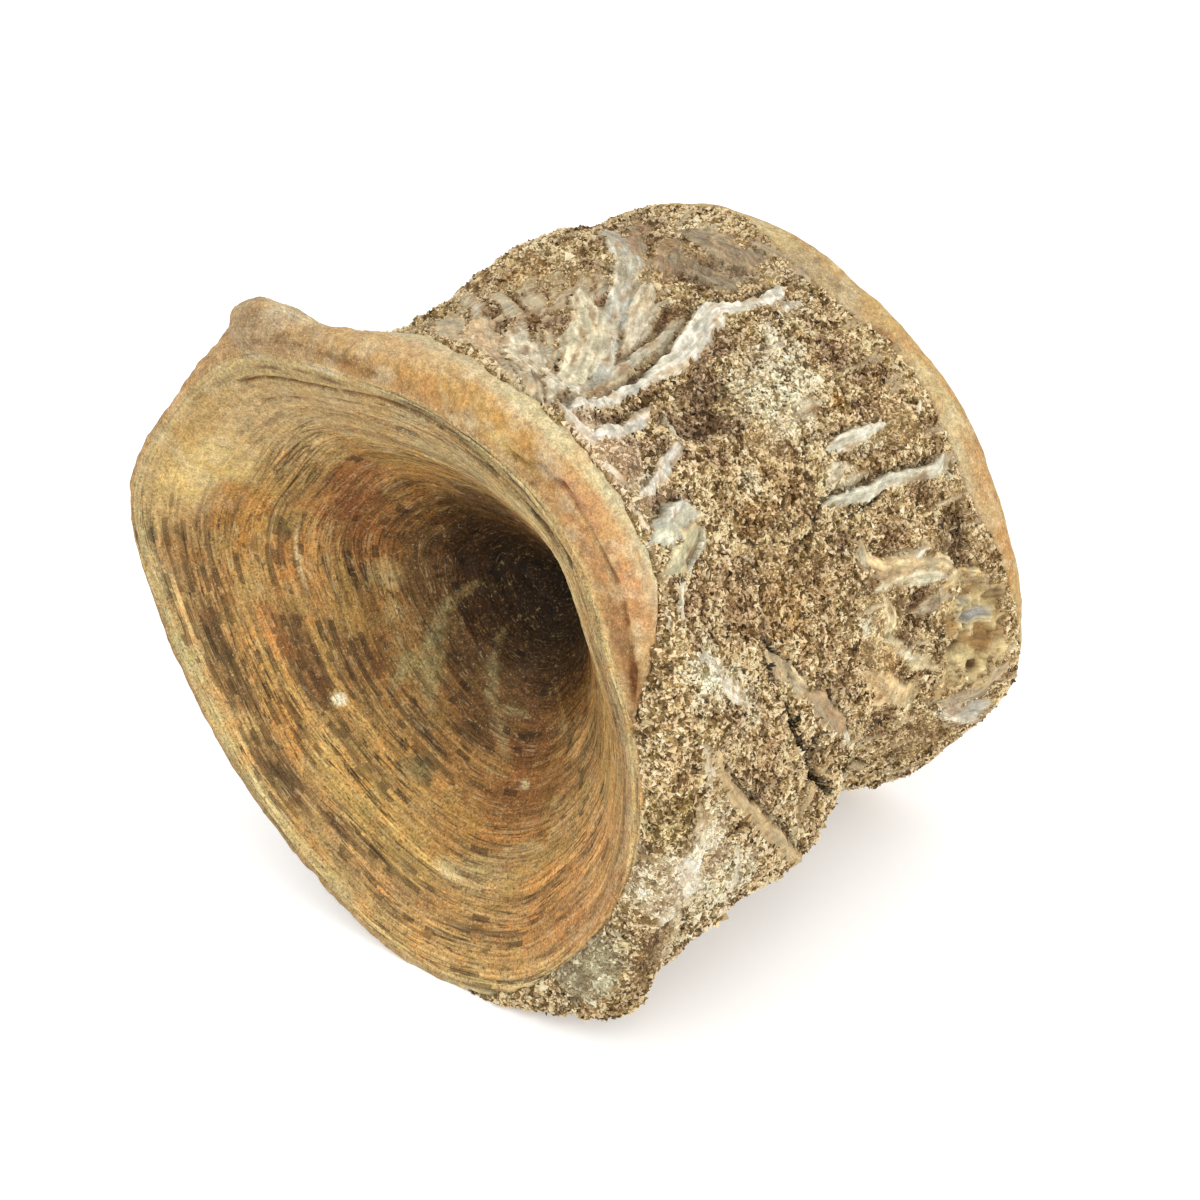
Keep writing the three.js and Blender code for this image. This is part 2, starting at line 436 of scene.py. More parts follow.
# Colours of the near cup: by share, and in oval spots with a colour and a strength.
CUP_TINT = np.array([1.0, 1.0, 0.88])
# The ramp darkens towards the point: partly the bone's own brown, partly painted shade of the deep hollow.
CUP_RAMP = [
    (0.0, "#3a2a18"), (0.15, "#45321d"), (0.25, "#5c432a"), (0.35, "#85623b"), (0.45, "#a67d4c"),
    (0.55, "#b48c56"), (0.65, "#b58f5b"), (0.75, "#c7a067"), (0.84, "#b58f60"), (0.92, "#c3a373"),
    (1.0, "#ccb78a"),
]
CUP_SPOTS = [
    (-165, 0.97, 20, 0.04, "#dcc898", 0.7), (-165, 0.86, 17, 0.04, "#7d5f3c", 0.8),
    (-134, 0.87, 13, 0.045, "#826340", 0.8), (-150, 0.78, 26, 0.05, "#cf9f5e", 0.6),
    (-158, 0.67, 18, 0.05, "#86603b", 0.8), (-170, 0.72, 10, 0.03, "#c98d55", 0.7),
    (-112, 0.74, 26, 0.07, "#caa868", 0.7), (-120, 0.62, 28, 0.05, "#b4915a", 0.6),
    (-152, 0.55, 12, 0.07, "#8a633a", 0.7), (-172, 0.46, 14, 0.06, "#9d7a4a", 0.6),
    (-138, 0.42, 14, 0.07, "#b19a66", 0.6), (-110, 0.60, 5, 0.06, "#8d774f", 0.7),
    (-72, 0.60, 16, 0.10, "#a0703f", 0.7), (-62, 0.52, 22, 0.10, "#91623a", 0.7),
    (-75, 0.72, 8, 0.05, "#d8bd92", 0.4), (-40, 0.86, 26, 0.16, "#c08c58", 0.8),
    (-78, 0.92, 22, 0.06, "#c99c62", 0.6), (-35, 0.60, 16, 0.14, "#c19a6c", 0.7),
    (-100, 0.40, 16, 0.07, "#6d4a2a", 0.7), (-130, 0.33, 14, 0.06, "#5f4329", 0.7),
    (-72, 0.40, 14, 0.08, "#8a5a35", 0.7), (-160, 0.27, 16, 0.06, "#4f3a24", 0.7),
    (147, 0.83, 16, 0.11, "#e6c98c", 0.85), (160, 0.73, 11, 0.08, "#c48f4c", 0.7),
    (172, 0.87, 8, 0.05, "#85643d", 0.7), (128, 0.80, 16, 0.15, "#cdb086", 0.75),
    (105, 0.80, 18, 0.17, "#c3a880", 0.75), (78, 0.80, 18, 0.17, "#c4ae88", 0.75),
    (138, 0.55, 18, 0.07, "#a06841", 0.8), (147, 0.53, 8, 0.06, "#8d5631", 0.5),
    (162, 0.45, 14, 0.08, "#a86f3e", 0.6), (158, 0.765, 8, 0.05, "#b9823f", 0.6),
    (150, 0.46, 15, 0.07, "#8a5a38", 0.5), (172, 0.60, 10, 0.07, "#c08b52", 0.6),
    (86, 0.44, 16, 0.13, "#564027", 0.8), (112, 0.33, 16, 0.10, "#5d4629", 0.6),
    (140, 0.24, 30, 0.09, "#44301d", 0.7), (110, 0.93, 24, 0.05, "#b89d70", 0.7),
    (140, 0.93, 12, 0.05, "#bf9a62", 0.6), (50, 0.90, 18, 0.05, "#a8946c", 0.7),
    (20, 0.90, 12, 0.04, "#a8895f", 0.7), (45, 0.74, 32, 0.14, "#cdb78e", 0.85),
    (-22, 0.978, 34, 0.005, "#7a5c40", 0.7), (-14, 0.988, 30, 0.007, "#dcc79a", 0.7),
    (-2, 0.996, 5, 0.008, "#d59c58", 0.8), (-45, 0.985, 14, 0.010, "#cbc9ae", 0.7),
    (-8, 0.94, 42, 0.018, "#a98e72", 0.7), (-12, 0.91, 40, 0.010, "#7d6147", 0.6),
    (-30, 0.955, 20, 0.01, "#b98a58", 0.6), (-143.3, 0.643, 2.5, 0.021, "#f2ead6", 0.95),
    (-106.5, 0.59, 5, 0.035, "#8b7a58", 0.7), (-83.5, 0.74, 5, 0.02, "#d9c9a0", 0.7),
    (-64, 0.655, 8, 0.02, "#d2b98c", 0.5), (175, 0.42, 6, 0.045, "#c4af80", 0.6),
    (-168, 0.43, 6, 0.025, "#c4ad7c", 0.7), (170, 0.605, 11, 0.006, "#e9dcb8", 0.6),
    (-67, 0.5, 2.4, 0.012, "#e6d6b0", 0.8), (113, 0.955, 4, 0.009, "#6b4f33", 0.8),
    (105.5, 0.962, 3, 0.008, "#6b4f33", 0.8), (99, 0.95, 4, 0.008, "#6b4f33", 0.7),
    (122, 0.93, 4, 0.006, "#7a5c3c", 0.7), (100, 0.985, 5, 0.012, "#e3d6ba", 0.7),
    (115, 1.0, 3, 0.02, "#e5dbc4", 0.6), (-26, 0.82, 14, 0.1, "#c6996a", 0.7),
    (-52, 0.82, 12, 0.08, "#c48f57", 0.6), (-155, 0.33, 12, 0.05, "#6d5836", 0.6),
    (-85, 0.62, 10, 0.05, "#b3854c", 0.6), (-118, 0.92, 16, 0.02, "#c8964f", 0.6),
    (-140, 0.955, 16, 0.015, "#d9c490", 0.7),
]
# Pale grey-green veins that fork up from the depth of the near funnel: lines at millimetres from its axis.
VEINS = [
    [(-178, 6.2, 0.5), (-164, 8.7, 0.6), (-148, 10.6, 0.8), (-134, 11.8, 0.9), (-120, 13.2, 0.5)],
    [(-148, 10.6, 0.5), (-142, 13.2, 0.6), (-136, 14.8, 0.3)],
    [(-128, 6.2, 0.5), (-110, 8.4, 0.7), (-97, 10.1, 0.7), (-86, 11.5, 0.5), (-80, 12.6, 0.3)],
    [(-97, 10.1, 0.4), (-88, 9.8, 0.4), (-78, 9.5, 0.2)],
    [(-60, 7.8, 0.3), (-50, 10.1, 0.4), (-42, 12.9, 0.3)],
]
VEIN_DEGREE = 0.35 * DEGREE_SIZE
VEIN_COLOUR = "#b3a57c"
VEIN_STRENGTH = 0.45
# Zones of the near cup whose rings are filled with dark.
DARK_ZONES = [
    (-165, 0.86, 19, 0.05), (-134, 0.88, 16, 0.05), (-108, 0.85, 12, 0.035), (-158, 0.67, 20, 0.06),
    (-152, 0.55, 13, 0.08), (-176, 0.80, 9, 0.04), (172, 0.88, 9, 0.06), (-98, 0.80, 14, 0.03),
    (-122, 0.69, 16, 0.03), (166, 0.66, 8, 0.06), (-140, 0.76, 12, 0.025), (-110, 0.56, 12, 0.04),
    (-92, 0.90, 12, 0.02), (-70, 0.84, 12, 0.02), (-172, 0.93, 8, 0.02), (-100, 0.45, 12, 0.04),
]
# Colours of the near lip: by millimetres out from the crest, and in spots.
LIP_LIGHT = np.array([0.81, 0.815, 0.785])
LIP_RAMP = [
    (-1.0, "#c8a876"), (0.3, "#c79c68"), (1.2, "#cfa46c"), (2.4, "#dab078"), (3.6, "#ddb784"),
    (4.6, "#e3caa0"), (5.4, "#ddcb9f"), (7.0, "#cfae78"), (12.0, "#bb9560"),
]
LIP_SPOTS = [
    (24, 1.1, 11, 0.8, "#a2764a", 0.8), (40, 1.2, 9, 0.7, "#c98f5e", 0.6), (55, 1.5, 5, 0.9, "#ab7a42", 0.7),
    (45, 3.1, 10, 1.0, "#deab74", 0.6), (32, 3.0, 7, 0.9, "#d99a66", 0.7),
    (66, 2.6, 12, 1.1, "#dca95c", 0.7), (60, 1.0, 7, 0.7, "#e0bf72", 0.6),
    (78, 1.4, 10, 0.9, "#cf9d58", 0.6), (56, 4.4, 16, 0.7, "#e9d9ab", 0.7),
    (24, 4.0, 5, 0.8, "#dba46e", 0.7), (92, 0.8, 10, 0.9, "#a98254", 0.7),
    (106, 1.3, 10, 1.3, "#b08f62", 0.8), (96, 3.8, 9, 1.8, "#d8b27c", 0.6),
    (95, 8.0, 8, 2.4, "#d3af74", 0.7), (36, 5.0, 5, 0.4, "#d8cfae", 0.8), (-5, -0.6, 8, 0.7, "#dbaa68", 0.7),
    (112, 1.4, 14, 2.6, "#bf9f76", 0.75), (113, 2.0, 6, 1.6, "#a08260", 0.6),
    (107.6, 3.3, 3.0, 1.2, "#e0d2b6", 0.55), (115, 3.4, 3, 0.8, "#cbb58f", 0.5),
    (-150, 0.4, 62, 0.8, "#b08c56", 0.9), (-150, 1.5, 62, 0.5, "#7a6040", 0.7),
    (-150, 2.6, 62, 0.7, "#957746", 0.8), (160, 2.2, 32, 0.7, "#9c8354", 0.7),
    (-60, 0.5, 30, 0.8, "#cfc7a0", 0.7), (85, 3.0, 14, 0.7, "#e0bf8f", 0.6),
    (48, 2.4, 7, 0.6, "#d8a07a", 0.6), (30, 4.4, 8, 0.5, "#d6b48c", 0.7),
]

# The same for the far cone.
# As in the near cup, the ramp's dark towards the point is partly painted shade of the deep hollow.
BACK_RAMP = [
    (0.0, "#57452c"), (0.2, "#6f5636"), (0.4, "#94734a"), (0.6, "#ae8d5c"), (0.8, "#bd9c69"),
    (0.93, "#bf9f6c"), (1.0, "#cdb988"),
]
BACK_SPOTS = [
    (40, 0.75, 30, 0.10, "#c99a5c", 0.7), (-60, 0.80, 24, 0.06, "#80603c", 0.7),
    (150, 0.62, 30, 0.08, "#8c6740", 0.7), (-130, 0.55, 26, 0.10, "#a56c3c", 0.7),
    (90, 0.88, 24, 0.05, "#8d6d45", 0.7), (10, 0.45, 24, 0.08, "#a9763f", 0.6),
    (-10, 0.92, 18, 0.06, "#cdb98a", 0.7), (-95, 0.35, 20, 0.07, "#a79a70", 0.5),
    (120, 0.38, 14, 0.07, "#a89a70", 0.5), (-160, 0.86, 14, 0.06, "#d6ac68", 0.7),
    (75, 0.55, 20, 0.07, "#b1773f", 0.6), (-30, 0.60, 16, 0.08, "#8b6d45", 0.6),
]
BACK_DARK_ZONES = [
    (-60, 0.80, 24, 0.06), (150, 0.64, 28, 0.07), (90, 0.88, 24, 0.04), (-30, 0.60, 16, 0.06),
    (20, 0.85, 20, 0.04), (-120, 0.72, 22, 0.04), (-165, 0.90, 16, 0.03), (60, 0.50, 16, 0.05),
]
FAR_LIP_TINT = np.array([0.85, 0.91, 0.97])
BACK_LIP_RAMP = [
    (-1.0, "#c9b383"), (1.0, "#cfa86c"), (3.0, "#cda263"), (5.0, "#cfa970"), (6.5, "#cdb084"),
    (9.0, "#b99a6b"),
]
BACK_LIP_SPOTS = [
    (22, 4.0, 9, 1.6, "#c59560", 0.7), (8, 4.6, 7, 1.2, "#c58f55", 0.7), (52, 5.9, 3, 0.7, "#93714a", 0.8),
    (70, 5.6, 10, 1.2, "#a98d68", 0.6), (40, 5.0, 8, 1.0, "#dcc08a", 0.6), (85, 5.0, 9, 1.6, "#d6bc86", 0.7),
    (30, 6.6, 6, 0.8, "#dcc795", 0.6), (-10, 4.0, 9, 1.6, "#c2a877", 0.7),
    (60, 3.6, 12, 1.0, "#d2ab6b", 0.6), (100, 5.0, 10, 1.6, "#c8ad7c", 0.6),
    (150, 4.0, 30, 2.0, "#bd9d6c", 0.6), (-120, 4.0, 40, 2.0, "#c3a878", 0.6),
]


def growth_place(degrees, distance):
    """Coordinates that follow the growth rings: two round the axis and one across the rings."""
    turn = np.radians(degrees)
    return np.stack([RING_REACH * np.cos(turn), RING_REACH * np.sin(turn), distance], -1)


def ring_heights(distance, seed):
    """Height of the growth rings, -1 to 1, at distances in millimetres from the funnel's axis."""
    rng = np.random.default_rng(seed)
    total = np.zeros_like(distance)
    for ring in range(int(RING_REACH / RING_PITCH) + 3):
        middle = (ring + rng.uniform(-0.25, 0.25)) * RING_PITCH
        total += rng.uniform(0.25, 1.0) * np.exp(-((distance - middle) / (0.34 * RING_PITCH)) ** 2)
    return 1.6 * total - 0.7


def dark_zone(degrees, share, points, zones):
    """How far a place of a cup is inside the zones whose rings are filled with dark."""
    wobble = rough(points, 2.0, 3, 35)
    total = np.zeros(degrees.shape)
    for zone in zones:
        total = np.maximum(total, blob(degrees, share, zone, wobble))
    return total


def over_rim(degrees, over, from_back=False):
    """Points of the side at a length over the rim from the front crest, or from the back one, and how far
    behind the front face they are. Lengths below zero from the front crest lie in the near cup."""
    radius, back, along = side_profile(degrees)
    wanted = along[-1] - over if from_back else over
    columns = range(len(degrees))
    at_radius = np.array([np.interp(wanted[:, i], along[:, i], radius[:, i]) for i in columns]).T
    at_back = np.array([np.interp(wanted[:, i], along[:, i], back[:, i]) for i in columns]).T
    inward = SLANT * np.minimum(over, 0)
    at_back = at_back + funnel_depth(1 + inward / radius[0], FRONT_DEPTH)
    return place(degrees, at_radius + inward, at_back), at_back


def ragged(points):
    """How far the line between bone and rock wanders."""
    return 0.4 * rough(points, 1.7, 2, 9)


def rim_dip(beyond):
    """How far the bone dips under the rock, at a distance beyond the end of its skin."""
    return 0.9 * step(-0.15, 0.5, beyond) + 0.6 * step(0.5, 1.6, beyond)


def bone_tone(degrees, share, out, points):
    """Colour of the near cone, in its cup and on its lip, with its pale veins."""
    cup = painted(degrees, share, ramp(share, CUP_RAMP), CUP_SPOTS, rough(points, 2.2, 3, 30))
    for line in VEINS:
        side, width, _, _ = near_line(degrees, share * RING_REACH, line, VEIN_DEGREE)
        vein = VEIN_STRENGTH * step(1.3, 0.2, np.abs(side) / width + 0.55 * rough(points, 1.4, 3, 31))
        cup = toward(cup, vein, linear(VEIN_COLOUR))
    lip = LIP_LIGHT * painted(degrees, out, ramp(out, LIP_RAMP), LIP_SPOTS, rough(points, 1.2, 3, 32))
    return toward(cup * CUP_TINT, step(-0.9, 0.2, out), lip)


def make_cone(name, grid, tips, tone, dark, grit, in_cup, growth):
    """A cone of bone from its grid and what its shader needs over it."""
    attributes = {"tone": tone, "marks": np.stack([dark, grit, 1 - in_cup], -1), "growth": growth}
    make_round_piece(name, grid, tips, surface_material("weathered_bone", bone_nodes), attributes)


def front_height(turn, share, out, beyond, distance, groove, in_cup, ringed_lip, grid):
    """Height of the near cone's growth rings, swells and pits above its plain form."""
    strength = (0.075 + 0.05 * noise(grid / 5, 4)) * step(0.06, 0.2, share) * in_cup
    height = ring_heights(distance, SEED + 1) * strength
    height += in_cup * (0.22 * noise(grid / 7, 5) + 0.06 * rough(grid, 1.1, 2, 6))
    height += (1 - in_cup) * (0.14 * noise(grid / 3.5, 7) + 0.08 * rough(grid, 1.0, 3, 8))
    height += 0.12 * ringed_lip * step(0, 0.8, out) * rough(grid, 1.7, 3, 20)
    height += swelling(turn, out, LIP_SWELLS, 0.5 * noise(grid / 1.5, 22))
    height -= HOLLOW_DEPTH * step(4.2, 8.0, out) * step(24, 12, np.abs(turned(turn, HOLLOW_DEGREE)))
    return height - groove - rim_dip(beyond + ragged(grid))


def front_cone():
    """The near cone: ringed cup, lip over the rim, and the face hidden under the rock."""
    degrees = np.linspace(-180, 180, FRONT_AROUND, endpoint=False)
    crest = radius_at(FRONT_CREST, degrees)
    share = ((np.arange(FRONT_CUP_ROWS) + 1) / FRONT_CUP_ROWS)[:, None] + 0 * crest
    cup_back = funnel_depth(share, FRONT_DEPTH)
    cup = place(degrees, share * crest, cup_back, cup_back / FRONT_DEPTH)

    skin = radius_at(FRONT_SKIN, degrees)
    over = ((np.arange(FRONT_LIP_ROWS) + 1) / FRONT_LIP_ROWS)[:, None] * (skin + LIP_OVERLAP)
    lip, _ = over_rim(degrees, over)

    inner_share = np.array(HIDDEN_SHARES)[:, None] + 0 * crest
    inner_back = funnel_depth(inner_share, FRONT_DEPTH)
    inner = place(degrees, inner_share * crest, inner_back + SHELL, inner_back / FRONT_DEPTH)

    grid = np.concatenate([cup, lip, inner])
    turn = degrees + 0 * grid[..., 0]
    out = np.concatenate([(share - 1) * crest / SLANT, over, HIDDEN_OUT + 0 * inner_share])
    share = np.concatenate([share, 1 + 0 * over, inner_share])
    distance = share * RING_REACH + 0.3 * noise(grid / 9, 3) + np.clip(out, 0, 9) / SLANT

    ringed_lip = blob(turn, out, RINGED_LIP, 0.3 * noise(grid / 3, 11))
    in_cup = np.maximum(step(0.3, -0.6, out), ringed_lip)
    for spot, worn, (wobble, octaves, seed) in WORN:
        in_cup *= 1 - worn * blob(turn, share, spot, wobble * rough(grid, WORN_WOBBLE, octaves, seed))
    groove = cut_depth(turn, out, GROOVES, DEGREE_SIZE, GROOVE_EDGE)
    groove *= np.clip(0.8 + 0.8 * noise(grid / 1.4, 10), 0.3, 1.3)
    height = front_height(turn, share, out, out - skin, distance, groove, in_cup, ringed_lip, grid)

    tone = bone_tone(turn, share, out, grid) * (1 - step(0.03, 0.28, groove)[..., None] * GROOVE_SHADE)
    dark = dark_zone(turn, share, grid, DARK_ZONES) * in_cup ** 2
    # The deep mark: where the shader paints shade deep in the funnel. It reaches less far out round -130
    # degrees.
    near_side = step(110, 50, np.abs(turned(turn, -130)))
    grit = step(0.46, 0.34, share + 0.13 * near_side + 0.1 * rough(grid, 3.0, 3, 12))
    shown = FRONT_CUP_ROWS + FRONT_LIP_ROWS
    grid = np.concatenate([raised(grid[:shown], height[:shown]), inner])
    tips = on_axis([FRONT_DEPTH, FRONT_DEPTH + SHELL], [1, 1])
    make_cone("front_cone", grid, tips, tone, dark, grit, in_cup, growth_place(turn, distance))


def back_cone():
    """The far cone: hidden face under the rock, lip over the far rim, and its own ringed cup."""
    degrees = np.linspace(-180, 180, BACK_AROUND, endpoint=False)
    crest = radius_at(BACK_EDGE, degrees) - BACK_CREST_INSET
    inner_share = np.array(HIDDEN_SHARES)[::-1, None] + 0 * crest
    inner_back = LENGTH - funnel_depth(inner_share, BACK_DEPTH)
    inner = place(degrees, inner_share * crest, inner_back - SHELL)

    skin = radius_at(BACK_SKIN, degrees)
    over = (1 - np.arange(BACK_LIP_ROWS) / BACK_LIP_ROWS)[:, None] * (skin + LIP_OVERLAP)
    lip, _ = over_rim(degrees, over, from_back=True)

    share = (1 - np.arange(BACK_CUP_ROWS) / BACK_CUP_ROWS)[:, None] + 0 * crest
    cup = place(degrees, share * crest, LENGTH - funnel_depth(share, BACK_DEPTH))

    grid = np.concatenate([inner, lip, cup])
    turn = degrees + 0 * grid[..., 0]
    out = np.concatenate([HIDDEN_OUT + 0 * inner_share, over, (share - 1) * crest / SLANT])
    far_inside = -9
    beyond = np.concatenate([far_inside + 0 * inner_share, over - skin, far_inside + 0 * share])
    share = np.concatenate([inner_share, 1 + 0 * over, share])
    distance = share * RING_REACH + 0.3 * noise(grid / 9, 13)

    in_cup = step(0.3, -0.6, out)
    strength = (0.07 + 0.04 * noise(grid / 5, 14)) * step(0.06, 0.2, share) * in_cup
    height = ring_heights(distance, SEED + 3) * strength + in_cup * 0.25 * noise(grid / 6, 15)
    height += (1 - in_cup) * (0.16 * noise(grid / 3.5, 17) + 0.07 * rough(grid, 0.9, 2, 18))
    height -= rim_dip(beyond + ragged(grid))
    hollow, cell_tone, cell_here = cell_depth(turn, grid[..., 1] - LOW[1], grid)
    height -= hollow * (1 - in_cup)

    cup_tone = painted(turn, share, ramp(share, BACK_RAMP), BACK_SPOTS, rough(grid, 2.4, 3, 33))
    lip_tone = painted(turn, out, ramp(out, BACK_LIP_RAMP), BACK_LIP_SPOTS, rough(grid, 1.8, 3, 34))
    tone = toward(toward(lip_tone * FAR_LIP_TINT, cell_here, cell_tone), in_cup, cup_tone)
    dark = dark_zone(turn, share, grid, BACK_DARK_ZONES) * in_cup
    # The deep mark: where the shader paints shade deep in the far funnel.
    grit = step(0.45, 0.2, share + 0.12 * rough(grid, 3.0, 3, 16))
    hidden = len(HIDDEN_SHARES)
    grid = np.concatenate([inner, raised(grid[hidden:], height[hidden:])])
    tips = on_axis([LENGTH - BACK_DEPTH - SHELL, LENGTH - BACK_DEPTH])
    make_cone("back_cone", grid, tips, tone, dark, grit, in_cup, growth_place(turn, distance))


# ---------------------------------------------------------------- the rock round the waist
ROCK_AROUND = 520
ROCK_ROWS = 172
# The rock's mesh is finest round this angle, in degrees.
FINE_SIDE = 32
FINENESS = 23
# How far the rock runs under the skin of both cones.
ROCK_OVERLAP = 1.0
# Shares of the cones' radius where the points of the rock's closing faces are.
CAP_SHARES = (0.06, 0.2, 0.4, 0.6, 0.8, 0.94)
WAIST_DEGREE = math.radians(1) * 28

